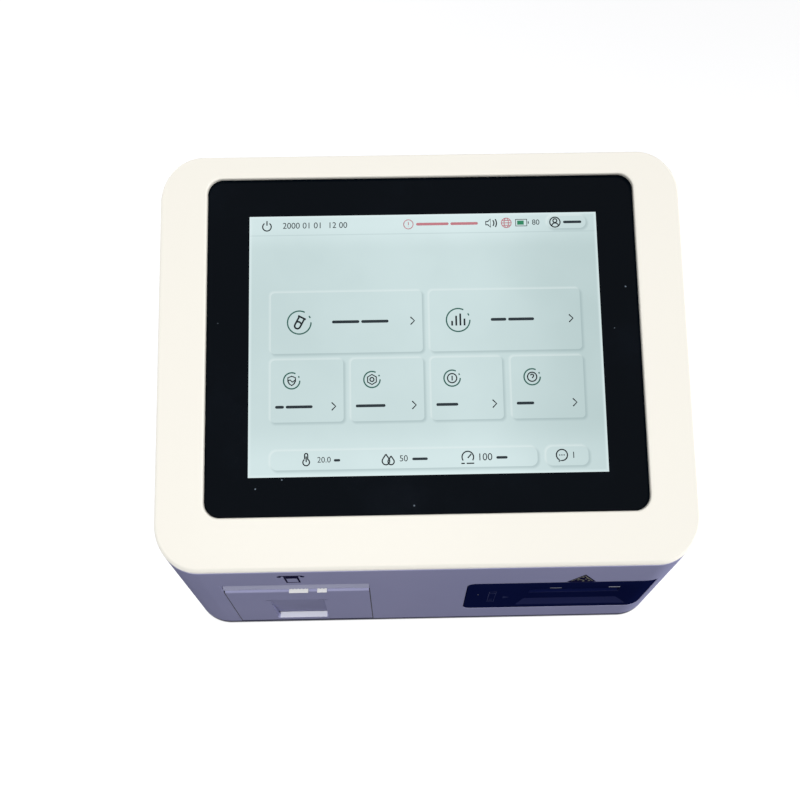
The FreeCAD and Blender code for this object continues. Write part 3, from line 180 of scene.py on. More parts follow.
def grain_group():
    """Moulded or etched grain: a height, and a slow cloud that varies colour and gloss."""
    tree, g, given, out = new_group(
        "grain", {"Vector": "Vector", "Grain Scale": "Float", "Cloud Scale": "Float"},
        {"Height": "Float", "Cloud": "Float"})
    fine = g.noise(given["Vector"], given["Grain Scale"], 3.0, 0.6)
    cloud = g.noise(given["Vector"], given["Cloud Scale"], 3.0, 0.5)
    g.put(out.inputs["Height"], fine)
    g.put(out.inputs["Cloud"], g.fit(cloud, 0.2, 0.8))
    return tree


SPECK_EDGE = (0.09, 0.03)


def dust_group():
    """Sparse small specks of dust, as a mask."""
    tree, g, given, out = new_group(
        "dust", {"Vector": "Vector", "Scale": "Float", "Amount": "Float"}, {"Mask": "Float"})
    inputs = {"Vector": given["Vector"], "Scale": given["Scale"], "Randomness": 1.0}
    cells = g.add("ShaderNodeTexVoronoi", inputs)
    speck = g.fit(cells.outputs["Distance"], *SPECK_EDGE)
    picked = g.fit(g.add("ShaderNodeSeparateColor", {0: cells.outputs["Color"]}).outputs[0],
                   g.math("SUBTRACT", 1.0, given["Amount"]), 1.0, kind="LINEAR")
    g.put(out.inputs["Mask"], g.math("MULTIPLY", speck, g.math("GREATER_THAN", picked, 0.0)))
    return tree


GRAIN = grain_group()
DUST = dust_group()


def new_material(name, colour, roughness, **sockets):
    """Material with a Principled shader and plain values, and its graph, shader and coordinates."""
    material = bpy.data.materials.new(name)
    material.use_nodes = True
    graph = Graph(material.node_tree)
    shader = material.node_tree.nodes["Principled BSDF"]
    shader.inputs["Base Color"].default_value = colour
    shader.inputs["Roughness"].default_value = roughness
    for socket, value in sockets.items():
        shader.inputs[socket.replace("_", " ")].default_value = value
    place = graph.add("ShaderNodeTexCoord").outputs["Object"]
    return material, graph, shader, place


DUST_COLOUR = srgb(226, 226, 220)
DUST_COVER = 0.5
DUST_SCALE = 240.0
GRAIN_STRENGTH = 0.6
# Facing of Layer Weight where a gloss starts to fade, and where it is gone
GLOSS_FADE = (0.3, 0.66)


def surface(name, colour, second, roughness, spread, grain, grain_depth, cloud, stretch=(1, 1, 1),
            dust=0.0, gloss=None, **sockets):
    """Finish with grain, clouding of colour and gloss, and dust. Depths are in millimetres.

    A gloss given here fades at shallow angles, as on moulded grain.
    """
    material, g, shader, place = new_material(name, colour, roughness, **sockets)
    place = g.add("ShaderNodeMapping", {"Vector": place, "Scale": stretch}).outputs[0]
    made = g.group(GRAIN, {"Vector": place, "Grain Scale": grain, "Cloud Scale": cloud})
    tint = g.mix(made["Cloud"], colour, second)
    if dust > 0:
        specks = g.group(DUST, {"Vector": place, "Scale": DUST_SCALE, "Amount": dust})["Mask"]
        tint = g.mix(g.math("MULTIPLY", specks, DUST_COVER), tint, DUST_COLOUR)
    g.put(shader.inputs["Base Color"], tint)
    g.put(shader.inputs["Roughness"], g.fit(made["Cloud"], 0, 1, roughness - spread, roughness + spread))
    bump = g.add("ShaderNodeBump", {"Height": made["Height"], "Strength": GRAIN_STRENGTH,
                                    "Distance": grain_depth * MM})
    g.put(shader.inputs["Normal"], bump.outputs[0])
    if gloss is not None:
        facing = g.add("ShaderNodeLayerWeight", {"Blend": 0.5}).outputs["Facing"]
        g.put(shader.inputs["Specular IOR Level"], g.fit(facing, *GLOSS_FADE, gloss, 0.0))
    return material


def rounded_rectangle_group():
    """Distance from the edge of an upright rounded rectangle, in the units of the vector, negative inside."""
    tree, g, given, out = new_group(
        "rounded rectangle",
        {"Vector": "Vector", "Centre X": "Float", "Centre Y": "Float", "Half Width": "Float",
         "Half Height": "Float", "Radius": "Float"},
        {"Distance": "Float"})
    parts = g.add("ShaderNodeSeparateXYZ", {0: given["Vector"]}).outputs
    past = []
    for axis, centre, half in (("X", "Centre X", "Half Width"), ("Y", "Centre Y", "Half Height")):
        away = g.math("ABSOLUTE", g.math("SUBTRACT", parts[axis], given[centre]))
        past.append(g.math("SUBTRACT", away, g.math("SUBTRACT", given[half], given["Radius"])))
    squares = [g.math("POWER", g.math("MAXIMUM", value, 0.0), 2.0) for value in past]
    outside = g.math("SQRT", g.math("ADD", squares[0], squares[1]))
    inside = g.math("MINIMUM", g.math("MAXIMUM", past[0], past[1]), 0.0)
    g.put(out.inputs["Distance"], g.math("SUBTRACT", g.math("ADD", outside, inside), given["Radius"]))
    return tree


ROUNDED_RECTANGLE = rounded_rectangle_group()


TILE_SHADE = srgb(138, 160, 163)
TILE_SHINE = srgb(236, 246, 245)
TILE_LIFT = 0.6


def soft_tile_group():
    """Raised tile of a screen picture, lit from the upper left with a soft shadow at the lower right."""
    tree, g, given, out = new_group(
        "soft tile",
        {"Vector": "Vector", "Colour": "Color", "Face": "Color", "Centre X": "Float", "Centre Y": "Float",
         "Half Width": "Float", "Half Height": "Float", "Radius": "Float"},
        {"Colour": "Color"})
    sizes = {key: given[key] for key in ("Half Width", "Half Height", "Radius")}

    def distance(shift):
        place = {"Centre X": g.math("ADD", given["Centre X"], shift),
                 "Centre Y": g.math("SUBTRACT", given["Centre Y"], shift)}
        return g.group(ROUNDED_RECTANGLE, {"Vector": given["Vector"], **place, **sizes})["Distance"]

    shadow = g.fit(distance(TILE_LIFT), 1.2, -0.5, 0.0, 0.42)
    light = g.fit(distance(-TILE_LIFT), 0.9, -0.4, 0.0, 0.34)
    colour = g.mix(shadow, given["Colour"], TILE_SHADE)
    colour = g.mix(light, colour, TILE_SHINE)
    face = g.fit(distance(0.0), 0.08, -0.12)
    g.put(out.inputs["Colour"], g.mix(face, colour, given["Face"]))
    return tree


SOFT_TILE = soft_tile_group()

# Screen picture, in millimetres: left, right, low and high edge of each raised tile
BIG_TILES = ((-70, -0.5, 96.5, 125), (3, 72.5, 96.5, 125))
SMALL_TILES = ((-70, -37, 65, 93.5), (-33.5, -0.5, 65, 93.5), (3, 35.5, 65, 93.5),
               (39.5, 72.5, 65, 93.5))
PILLS = ((-70, 50, 43.5, 52), (54, 73, 43.5, 52), (59, 77, 154, 160))
TILE_CORNER = 1.8
PILL_CORNER = 3.0
STATUS_LINE = 152.5
# Its brightness: where each change starts and ends, and its share at each
BASE_GLOW = 0.40
MIDDLE_COLUMN = 8.0
MIDDLE_GLOW = (0.0, 70.0, 0.16, 0.0)
TOP_GLOW = (144.0, 157.0, 0.0, 0.34)
BOTTOM_GLOW = (66.0, 46.0, 0.0, 0.30)
RIGHT_SHADE = (18.0, 84.0, 0.0, 0.27)
PICTURE_DIM = srgb(182, 202, 202)
PICTURE_BRIGHT = srgb(218, 236, 237)
PICTURE_EDGE = srgb(228, 243, 244)
LINE_COLOUR = srgb(160, 180, 182)


def picture_material():
    """The lit picture behind the cover glass: a pale ground with raised tiles."""
    material, g, shader, place = new_material("screen_picture", srgb(4, 6, 8), 0.07,
                                              Specular_IOR_Level=0.1, Emission_Strength=1.0)
    face = g.add("ShaderNodeMapping",
                 {"Vector": place, "Location": GLASS_PLACE.to_translation(),
                  "Rotation": (FACE_SLOPE, 0, 0), "Scale": (MM, MM, MM)}, vector_type="TEXTURE").outputs[0]
    parts = g.add("ShaderNodeSeparateXYZ", {0: face}).outputs
    aside = g.math("ABSOLUTE", g.math("SUBTRACT", parts["X"], MIDDLE_COLUMN))
    glow = g.math("ADD", g.fit(aside, *MIDDLE_GLOW), g.fit(parts["Y"], *TOP_GLOW))
    glow = g.math("ADD", glow, g.math("ADD", g.fit(parts["Y"], *BOTTOM_GLOW), BASE_GLOW))
    share = g.math("SUBTRACT", glow, g.fit(parts["X"], *RIGHT_SHADE))
    cloud = g.fit(g.noise(place, 26.0, 3.0), 0.3, 0.7, -0.06, 0.06)
    ground = g.mix(g.math("ADD", share, cloud, clamp=True), PICTURE_DIM, PICTURE_BRIGHT)
    line = g.fit(g.math("ABSOLUTE", g.math("SUBTRACT", parts["Y"], STATUS_LINE)), 0.35, 0.1, 0.0, 0.3)
    ground = g.mix(line, ground, LINE_COLOUR)
    middle = (DISPLAY_LOW + DISPLAY_HEIGHT / 2) / MM
    sizes = {"Vector": face, "Centre X": DISPLAY_SHIFT / MM, "Centre Y": middle,
             "Half Width": DISPLAY_WIDTH / 2 / MM, "Half Height": DISPLAY_HEIGHT / 2 / MM}
    edge = g.fit(g.group(ROUNDED_RECTANGLE, sizes)["Distance"], -1.6, -0.2, 0.0, 0.55)
    ground = g.mix(edge, ground, PICTURE_EDGE)
    colour = ground
    for tiles, corner in ((BIG_TILES, TILE_CORNER), (SMALL_TILES, TILE_CORNER), (PILLS, PILL_CORNER)):
        for x0, x1, y0, y1 in tiles:
            half_height = (y1 - y0) / 2
            values = {"Vector": face, "Colour": colour, "Centre X": (x0 + x1) / 2, "Centre Y": (y0 + y1) / 2,
                      "Half Width": (x1 - x0) / 2, "Half Height": half_height,
                      "Radius": min(corner, half_height), "Face": ground}
            colour = g.group(SOFT_TILE, values)["Colour"]
    g.put(shader.inputs["Emission Color"], colour)
    return material


def glass_material():
    """Black-backed cover glass with faint smears and a few specks of dust."""
    material, g, shader, place = new_material("black_glass", srgb(4, 9, 16), 0.05, Specular_IOR_Level=0.05)
    smear = g.fit(g.noise(place, 22.0, 5.0, 0.6), 0.5, 0.75, 0.0, 0.3)
    colour = g.mix(smear, srgb(3, 8, 15), srgb(14, 20, 29))
    specks = g.group(DUST, {"Vector": place, "Scale": 170.0, "Amount": 0.10})["Mask"]
    g.put(shader.inputs["Base Color"], g.mix(g.math("MULTIPLY", specks, 0.55), colour, srgb(150, 165, 180)))
    g.put(shader.inputs["Roughness"], g.fit(smear, 0.0, 0.3, 0.04, 0.16))
    return material


def board_material():
    """Green circuit board with a lattice of copper traces and round pads."""
    material, g, shader, place = new_material("circuit_board", srgb(12, 78, 48), 0.35)
    inputs = {"Vector": place, "Scale": 620.0, "Color1": srgb(10, 70, 43), "Color2": srgb(22, 104, 66),
              "Mortar": srgb(32, 120, 76), "Mortar Size": 0.02, "Brick Width": 1.7, "Row Height": 0.5}
    traces = g.add("ShaderNodeTexBrick", inputs).outputs["Color"]
    cells = g.add("ShaderNodeTexVoronoi", {"Vector": place, "Scale": 330.0, "Randomness": 0.25}).outputs
    pad = g.fit(cells["Distance"], 0.2, 0.16)
    g.put(shader.inputs["Base Color"], g.mix(pad, traces, srgb(205, 172, 104)))
    g.put(shader.inputs["Metallic"], g.math("MULTIPLY", pad, 0.9))
    g.put(shader.inputs["Roughness"], g.fit(pad, 0, 1, 0.4, 0.25))
    return material


def slot_light_highlight_material():
    """Clear ends of the two light pipes over the card slot, with a painted highlight that makes them lighter
    towards the right, so the left one is dimmer.
    """
    material, g, shader, place = new_material("slot_light_highlight", srgb(104, 108, 118), 0.2, Specular_IOR_Level=0.05)
    low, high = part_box("slot_lights")
    across = g.add("ShaderNodeSeparateXYZ", {0: place}).outputs["X"]
    # Painted highlight: the pipes grow lighter towards the right end, where the light falls
    lit = g.fit(across, low.x, high.x)
    cloud = g.fit(g.noise(place, 400.0, 3.0), 0.3, 0.7, 0.0, 0.3)
    colour = g.mix(lit, srgb(70, 74, 92), srgb(142, 147, 166))
    g.put(shader.inputs["Base Color"], g.mix(cloud, colour, srgb(116, 121, 138)))
    g.put(shader.inputs["Roughness"], g.fit(cloud, 0.0, 0.3, 0.16, 0.26))
    return material


def roll_material():
    """White paper with the edges of its turns showing as fine rings on both ends."""
    material, g, shader, place = new_material("paper_roll", srgb(238, 238, 235), 0.8)
    low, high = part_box("paper_roll")
    centre = (low + high) / 2
    local = g.add("ShaderNodeMapping", {"Vector": place, "Location": -centre}).outputs[0]
    inputs = {"Vector": local, "Scale": 900.0, "Distortion": 0.6, "Detail": 1.0}
    rings = g.add("ShaderNodeTexWave", inputs, wave_type="RINGS", rings_direction="X").outputs["Fac"]
    fibre = g.noise(place, 1500.0, 4.0, 0.7)
    colour = g.mix(g.fit(rings, 0.1, 0.9), srgb(214, 213, 208), srgb(242, 242, 240))
    g.put(shader.inputs["Base Color"], g.mix(g.fit(fibre, 0.3, 0.8, 0.0, 0.2), colour, srgb(224, 222, 216)))
    height = g.math("ADD", g.math("MULTIPLY", rings, 0.5), fibre)
    g.put(shader.inputs["Normal"], g.add("ShaderNodeBump", {"Height": height, "Strength": 0.5,
                                                            "Distance": 0.04 * MM}).outputs[0])
    return material


# Body and door plastic: white plastic painted grey-lavender, darker and bluer than the ivory bezel, as
# painted shade
BODY_SHADED_COLOURS = ((158, 158, 191), (152, 153, 187))
# Finishes: two colours, roughness and its spread, grain scale, grain depth in millimetres, cloud scale, and
# what else the finish has
FINISHES = {
    "body_plastic": (*BODY_SHADED_COLOURS, 0.42, 0.05, 2600, 0.012, 14, {"dust": 0.02, "gloss": 0.45}),
    "door_plastic": (*BODY_SHADED_COLOURS, 0.40, 0.05, 2600, 0.012, 14, {"gloss": 0.45}),
    # Tear bar: the same white plastic, with the same grey-lavender painted shade
    "tear_bar": ((160, 161, 187), (160, 161, 187), 0.3, 0.05, 2600, 0.006, 14, {"gloss": 0.4}),
    # Pale sheet on the scoop's ledge: a painted highlight
    "lip_painted_highlight": ((226, 227, 236), (218, 219, 230), 0.2, 0.04, 1800, 0.004, 30, {}),
    "bezel_plastic": ((253, 249, 237), (252, 248, 237), 0.26, 0.015, 1800, 0.006, 6,
                      {"Coat_Weight": 0.2, "Coat_Roughness": 0.14}),
    "dark_panel": ((12, 18, 58), (15, 22, 64), 0.09, 0.03, 2000, 0.003, 16,
                   {"dust": 0.05, "gloss": 0.08}),
    "dark_plastic": ((44, 46, 50), (52, 54, 58), 0.5, 0.07, 1800, 0.03, 30, {}),
    "gear_plastic": ((232, 229, 216), (222, 219, 205), 0.38, 0.05, 1200, 0.008, 60,
                     {"Subsurface_Weight": 0.05}),
    "amber_lens": ((176, 132, 52), (164, 120, 44), 0.2, 0.04, 1500, 0.004, 40, {}),
    "foam": ((34, 34, 35), (44, 44, 45), 0.9, 0.04, 1500, 0.12, 60, {}),
    "rubber_black": ((30, 30, 31), (40, 40, 41), 0.75, 0.08, 1400, 0.03, 50, {"dust": 0.04}),
    "display": ((60, 62, 66), (72, 74, 78), 0.35, 0.05, 900, 0.01, 30, {}),
    "battery_wrap": ((38, 62, 112), (32, 54, 100), 0.24, 0.05, 420, 0.03, 25, {}),
    "paper": ((240, 240, 238), (232, 232, 229), 0.8, 0.05, 1500, 0.03, 40, {}),
    "cardboard": ((168, 142, 108), (150, 125, 94), 0.85, 0.05, 700, 0.06, 60, {}),
    "ceramic": ((222, 218, 208), (212, 207, 196), 0.2, 0.04, 900, 0.004, 30, {}),
    # Painted shade: the dark of the screws' cross recesses
    "recess_painted_shade": ((38, 39, 41), (48, 49, 51), 0.6, 0.05, 1500, 0.004, 60, {}),
    "sheet_steel": ((182, 184, 186), (166, 168, 172), 0.34, 0.08, 260, 0.012, 20,
                    {"Metallic": 1, "stretch": (1, 14, 14)}),
    "screw_steel": ((196, 197, 199), (176, 178, 182), 0.26, 0.07, 1800, 0.006, 90, {"Metallic": 1.0}),
    "shaft_steel": ((204, 205, 207), (188, 190, 193), 0.18, 0.05, 500, 0.004, 60,
                    {"Metallic": 1, "stretch": (12, 1, 1)}),
    "alloy": ((206, 207, 209), (190, 192, 195), 0.36, 0.06, 420, 0.012, 30,
              {"Metallic": 1, "stretch": (1, 10, 1)}),
    "brass": ((212, 178, 106), (190, 154, 84), 0.26, 0.07, 900, 0.006, 60, {"Metallic": 1.0}),
    "socket_metal": ((186, 187, 188), (168, 170, 172), 0.3, 0.07, 420, 0.008, 40,
                     {"Metallic": 1, "stretch": (1, 8, 1)}),
}
# Inks: two colours, roughness, and what else the ink has
INKS = {
    "ink": ((18, 25, 30), (24, 31, 36), 0.3, {"gloss": 0.1}),
    "word_ink": ((40, 49, 54), (46, 55, 60), 0.3, {"gloss": 0.1}),
    "green_ink": ((46, 130, 92), (52, 138, 100), 0.3, {"Specular_IOR_Level": 0.2}),
    "alert_ink": ((192, 122, 130), (198, 130, 137), 0.3, {"Specular_IOR_Level": 0.2}),
    "teal_ink": ((40, 92, 82), (48, 100, 90), 0.3, {"Specular_IOR_Level": 0.2}),
    "sign_ink": ((22, 20, 52), (28, 26, 58), 0.4, {"gloss": 0.2}),
    "olive_ink": ((132, 132, 118), (122, 122, 110), 0.4, {"gloss": 0.2}),
    "panel_ink": ((40, 46, 84), (48, 54, 92), 0.3, {"gloss": 0.2}),
    "pale_ink": ((150, 150, 176), (160, 160, 186), 0.4, {"gloss": 0.2}),
    "mark_paint": ((206, 207, 209), (196, 197, 200), 0.45, {}),
}
INK_GRAIN = (0.05, 1500, 0.002, 40)
MATERIALS = {"black_glass": glass_material(), "circuit_board": board_material(),
             "screen_picture": picture_material(), "light_pipe": slot_light_highlight_material()}
for name, (first, second, *values, more) in FINISHES.items():
    MATERIALS[name] = surface(name, srgb(*first), srgb(*second), *values, **more)
for name, (first, second, roughness, more) in INKS.items():
    MATERIALS[name] = surface(name, srgb(*first), srgb(*second), roughness, *INK_GRAIN, **more)


def dress_nodes():
    """Gives each CAD node the finish of its material slot, and two of them their own."""
    for part in frame["record"]["subparts"]:
        node = frame["nodes"][part["node"]]
        node.data.materials.clear()
        node.data.materials.append(MATERIALS[part["material_slot"]])
    frame["nodes"]["paper_roll"].data.materials[0] = roll_material()
    frame["nodes"]["tear_bar"].data.materials[0] = MATERIALS["tear_bar"]


# Rounded edges: node and width in millimetres, and where they differ the least angle in degrees, and whether
# the width is held back where edges lie close together
SOFT_EDGES = (("screen_bezel", 0.8), ("tear_bar", 0.25), ("switch_rocker", 0.2), ("switch_frame", 0.2),
              ("power_inlet", 0.2), ("base_tray", 0.3), ("printer_tub", 0.2), ("contact_head", 0.2),
              ("card_guide", 0.2), ("battery_pack", 0.6), ("clamp_motor", 0.25),
              ("main_housing", 0.25, 50.0, False), ("printer_door", 0.15, 60.0, False),
              ("card_panel", 0.2, 50.0, False))
WELD_REACH = 0.005 * MM
FLAT_ANGLE = math.radians(0.6)


def soften_edges(node, width, least_angle=32.0, clamp=True):
    """Rounds the sharp edges of a CAD node, after its flat faces are joined."""
    piece = frame["nodes"][node]
    weld = piece.modifiers.new("weld", "WELD")
    weld.merge_threshold = WELD_REACH
    flat = piece.modifiers.new("flat", "DECIMATE")
    flat.decimate_type = "DISSOLVE"
    flat.angle_limit = FLAT_ANGLE
    edge = piece.modifiers.new("edge", "BEVEL")
    edge.width = width * MM
    edge.segments = 2
    edge.limit_method = "ANGLE"
    edge.angle_limit = math.radians(least_angle)
    edge.use_clamp_overlap = clamp
    shade = piece.modifiers.new("shade", "WEIGHTED_NORMAL")
    shade.weight = 90


def new_object(name, data):
    """Object in the scene."""
    made = bpy.data.objects.new(name, data)
    bpy.context.scene.collection.objects.link(made)
    return made


def add_piece(name, mesh, material, body="base"):
    """Puts a finished mesh on a body, with one of the materials by name."""
    mesh.materials.clear()
    mesh.materials.append(MATERIALS[material])
    piece = new_object(name, mesh)
    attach(piece, body)


def finished(solid, name):
    """Mesh of a bmesh, which is freed."""
    mesh = bpy.data.meshes.new(name)
    solid.to_mesh(mesh)
    solid.free()
    return mesh


def merged(meshes):
    """One mesh of several."""
    whole = bmesh.new()
    for mesh in meshes:
        whole.from_mesh(mesh)
    return finished(whole, "merged")


def curve_mesh(curve, place, flatten=1.0):
    """Mesh of a curve drawn in millimetres, flattened and put in its place."""
    holder = new_object("holder", curve)
    bpy.context.view_layer.update()
    drawn = bpy.data.meshes.new_from_object(holder)
    bpy.data.objects.remove(holder)
    solid = bmesh.new()
    solid.from_mesh(drawn)
    bpy.data.meshes.remove(drawn)
    if curve.dimensions == "2D":
        bmesh.ops.reverse_faces(solid, faces=[face for face in solid.faces if face.normal.z < 0])
    solid.transform(place @ Matrix.Diagonal((MM, MM, MM * flatten, 1)))
    return finished(solid, "drawn")


def straight_curve(lines, radius=None):
    """Curve of round wires of a radius, or else of filled outlines, in millimetres.

    Each line is its points, and whether it is closed.
    """
    curve = bpy.data.curves.new("lines", "CURVE")
    if radius is None:
        curve.dimensions = "2D"
        curve.fill_mode = "BOTH"
    else:
        curve.dimensions = "3D"
        curve.bevel_depth = radius
        curve.bevel_resolution = 2
        curve.use_fill_caps = True
    for points, closed in lines:
        spline = curve.splines.new("POLY")
        spline.points.add(len(points) - 1)
        for point, corner in zip(spline.points, points):
            point.co = (*Vector(corner).to_3d(), 1)
        spline.use_cyclic_u = closed
    return curve


def line_mesh(lines, width, place):
    """Flat round-ended strokes. Each line is its points, in millimetres, and whether it is closed."""
    return curve_mesh(straight_curve(lines, width / 2), place, STROKE_FLATNESS)


def shape_mesh(outlines, place):
    """Flat filled outlines, in millimetres. An outline inside another is a hole."""
    return curve_mesh(straight_curve([(points, True) for points in outlines]), place)


def wire_mesh(paths, radius):
    """Round wires along points given in millimetres as in the part's source."""
    return curve_mesh(straight_curve([(points, False) for points in paths], radius),
                      Matrix.Translation(spot(0, 0, 0)))


def number_mesh(numbers, place):
    """Plain numbers. Each is its text, its left and right ends, and its middle height."""
    meshes = []
    for text, x0, x1, y in numbers:
        curve = bpy.data.curves.new("number", "FONT")
        curve.body = text
        curve.align_y = "CENTER"
        mesh = curve_mesh(curve, Matrix.Identity(4))
        xs = [vertex.co.x for vertex in mesh.vertices]
        size = (x1 - x0) * MM / (max(xs) - min(xs))
        mesh.transform(place @ Matrix.Translation((x0 * MM, y * MM, 0)) @ Matrix.Scale(size, 4)
                       @ Matrix.Translation((-min(xs), 0, 0)))
        meshes.append(mesh)
    return merged(meshes)


def block_mesh(blocks, rounding):
    """Blocks with rounded edges. Each is its low and high corner, in millimetres as in the part's source."""
    whole = bmesh.new()
    for low, high in blocks:
        a, b = spot(*low), spot(*high)
        place = Matrix.Translation((a + b) / 2) @ Matrix.Diagonal((*(b - a), 1))
        bmesh.ops.create_cube(whole, size=1.0, matrix=place)
    bmesh.ops.bevel(whole, geom=list(whole.edges), offset=rounding * MM, segments=2, profile=0.5,
                    affect="EDGES", clamp_overlap=True, material=-1)
    return finished(whole, "blocks")


def panel_mesh(width, height, place):
    """One flat face about the middle of its place, in metres."""
    solid = bmesh.new()
    bmesh.ops.create_grid(solid, x_segments=1, y_segments=1, size=0.5,
                          matrix=place @ Matrix.Diagonal((width, height, 1, 1)))
    return finished(solid, "panel")


def turned_mesh(profile, place, steps=32):
    """Turned shape about the Z axis of its place. The profile is (radius, along), in millimetres."""
    solid = bmesh.new()
    points = [solid.verts.new((radius * MM, 0, along * MM)) for radius, along in profile]
    for first, second in zip(points, points[1:]):
        solid.edges.new((first, second))
    bmesh.ops.spin(solid, geom=list(solid.verts) + list(solid.edges), axis=(0, 0, 1), cent=(0, 0, 0),
                   angle=math.tau, steps=steps, use_merge=True, use_duplicate=False)
    bmesh.ops.remove_doubles(solid, verts=solid.verts, dist=0.002 * MM)
    bmesh.ops.recalc_face_normals(solid, faces=solid.faces)
    solid.transform(place)
    return finished(solid, "turned")


def arc(x, y, radius, start=0.0, end=360.0, squeeze=1.0, steps=28):
    """Points of an arc about a centre, in degrees, squeezed across."""
    full = end - start >= 360
    count = steps if full else steps + 1
    return [(x + radius * squeeze * math.cos(math.radians(start + (end - start) * i / steps)),
             y + radius * math.sin(math.radians(start + (end - start) * i / steps))) for i in range(count)]


def ring(x, y, radius, squeeze=1.0):
    return arc(x, y, radius, squeeze=squeeze), True


def moved(points, x, y, size=1.0):
    return [(x + px * size, y + py * size) for px, py in points]


def bar(x0, x1, y, tall):
    """Outline of a round-ended bar."""
    half = tall / 2
    return arc(x1 - half, y, half, -90, 90, steps=8) + arc(x0 + half, y, half, 90, 270, steps=8)


def rectangle(x0, x1, y0, y1):
    return [(x0, y0), (x1, y0), (x1, y1), (x0, y1)]


def chevron(x, y, size=1.8):
    return [(x - size / 2, y + size), (x + size / 2, y), (x - size / 2, y - size)], False


def word(x0, x1, y, tall, breaks=()):
    """Bars that stand for a line of words, split at the given shares of its length."""
    edges = [0.0, *breaks, 1.0]
    gap = 0.8
    bars = []
    for i in range(len(edges) - 1):
        start = x0 + (x1 - x0) * edges[i] + (gap / 2 if i else 0)
        end = x0 + (x1 - x0) * edges[i + 1] - (gap / 2 if i + 2 < len(edges) else 0)
        bars.append(bar(start, end, y, tall))
    return bars


def dashes(*lines):
    """Open straight lines."""
    return [(points, False) for points in lines]


def drop(x, y, size):
    tip = (x, y + 1.5 * size)
    return [tip] + arc(x, y - 0.3 * size, size, 40, -220, steps=14) + [tip], False


def broken_ring(x, y, radius):
    """A ring left open at its upper right, with a short dash in the gap."""
    return dashes(arc(x, y, radius, 62, 360), arc(x, y, radius, 22, 34, steps=3))


def power_mark(x, y):
    return dashes(arc(x, y, 2.0, 125, 415, steps=20), [(x, y + 2.8), (x, y + 0.6)])


def speaker_mark(x, y):
    horn = moved([(-1.6, -0.8), (-0.6, -0.8), (0.6, -2.0), (0.6, 2.0), (-0.6, 0.8), (-1.6, 0.8)], x, y)
    return [(horn, True)] + dashes(arc(x, y, 2.2, -38, 38, steps=8), arc(x, y, 3.4, -34, 34, steps=8))


def user_mark(x, y):
    return [ring(x, y, 2.4), ring(x, y + 0.7, 0.9)] + dashes(arc(x, y - 2.0, 1.6, 10, 170, steps=10))


def alert_mark(x, y):
    return [ring(x, y, 2.2)] + dashes([(x, y + 1.1), (x, y - 0.4)], [(x, y - 1.1), (x, y - 1.2)])


def globe_mark(x, y):
    level = ([(x - half, y + up), (x + half, y + up)] for half, up in ((2.3, 0), (1.9, 1.2), (1.9, -1.2)))
    return [ring(x, y, 2.3), ring(x, y, 2.3, 0.45)] + dashes(*level)


def battery_mark(x, y):
    cell = rectangle(x - 2.6, x + 2.6, y - 1.6, y + 1.6)
    return [(cell, True)] + dashes([(x + 3.3, y + 0.6), (x + 3.3, y - 0.6)])


def test_tube(x, y, lean):
    """A leaning test tube with its rim and the level of its liquid."""
    outline = [(-1.3, 2.6), (-1.3, -1.8)] + arc(0, -1.8, 1.3, 180, 360, steps=8) + [(1.3, 2.6)]
    c, d = math.cos(lean), math.sin(lean)
    lines = (outline, [(-2.0, 2.6), (2.0, 2.6)], [(-1.3, -0.2), (0, 0.3), (1.3, -0.2)])
    return dashes(*([(x + c * px - d * py, y + d * px + c * py) for px, py in points] for points in lines))


def chart_mark(x, y):
    foot = y - 2.6
    bars = ((-2.8, 2.2), (-0.9, 4.6), (1.0, 5.6), (2.9, 3.2))
    return dashes(*([(x + along, foot), (x + along, foot + tall)] for along, tall in bars))


def shield_mark(x, y):
    outline = [(0, 1.1), (0.9, 0.75), (0.9, -0.1), (0.55, -0.75), (0, -1.15), (-0.55, -0.75), (-0.9, -0.1),
               (-0.9, 0.75)]
    tick = moved([(-1.5, 0), (-0.7, 0.4), (0.3, -0.6), (1.5, 0.2)], x, y)
    return [(moved(outline, x, y, 1.9), True)] + dashes(tick)


def nut_mark(x, y):
    return [(arc(x, y, 2.3, 30, 330, steps=5), True), ring(x, y, 0.9)]


def info_mark(x, y):
    return [ring(x, y, 2.1)] + dashes([(x, y + 1.1), (x, y - 1.1)])


def question_mark(x, y):
    return [ring(x, y, 2.1)] + dashes(arc(x, y + 0.5, 0.7, 170, -60, steps=8) + [(x, y - 0.6)])


def thermometer_mark(x, y):
    """A thermometer round the middle of its bulb."""
    left, right, foot, top = x - 0.7, x + 0.7, y + 1.5, y + 3.3
    tube = [(left, foot), (left, top)] + arc(x, top, 0.7, 180, 0, steps=8) + [(right, foot)]
    return dashes(tube + arc(x, y, 1.5, 60, -240, steps=14), [(x, y + 2.7), (x, y + 0.1)])


def gauge_mark(x, y):
    foot = y - 2.8
    return dashes(arc(x, y, 2.6, -35, 215, steps=20), [(x, y - 0.4), (x + 1.6, y + 1.4)],
                  [(x - 3.0, foot), (x - 1.4, foot)], [(x - 0.6, foot), (x + 2.8, foot)])


def message_mark(x, y):
    return [(arc(x, y, 2.5, -110, 240, steps=24) + [(x - 1.4, y - 3.0), (x - 0.4, y - 2.4)], True)]


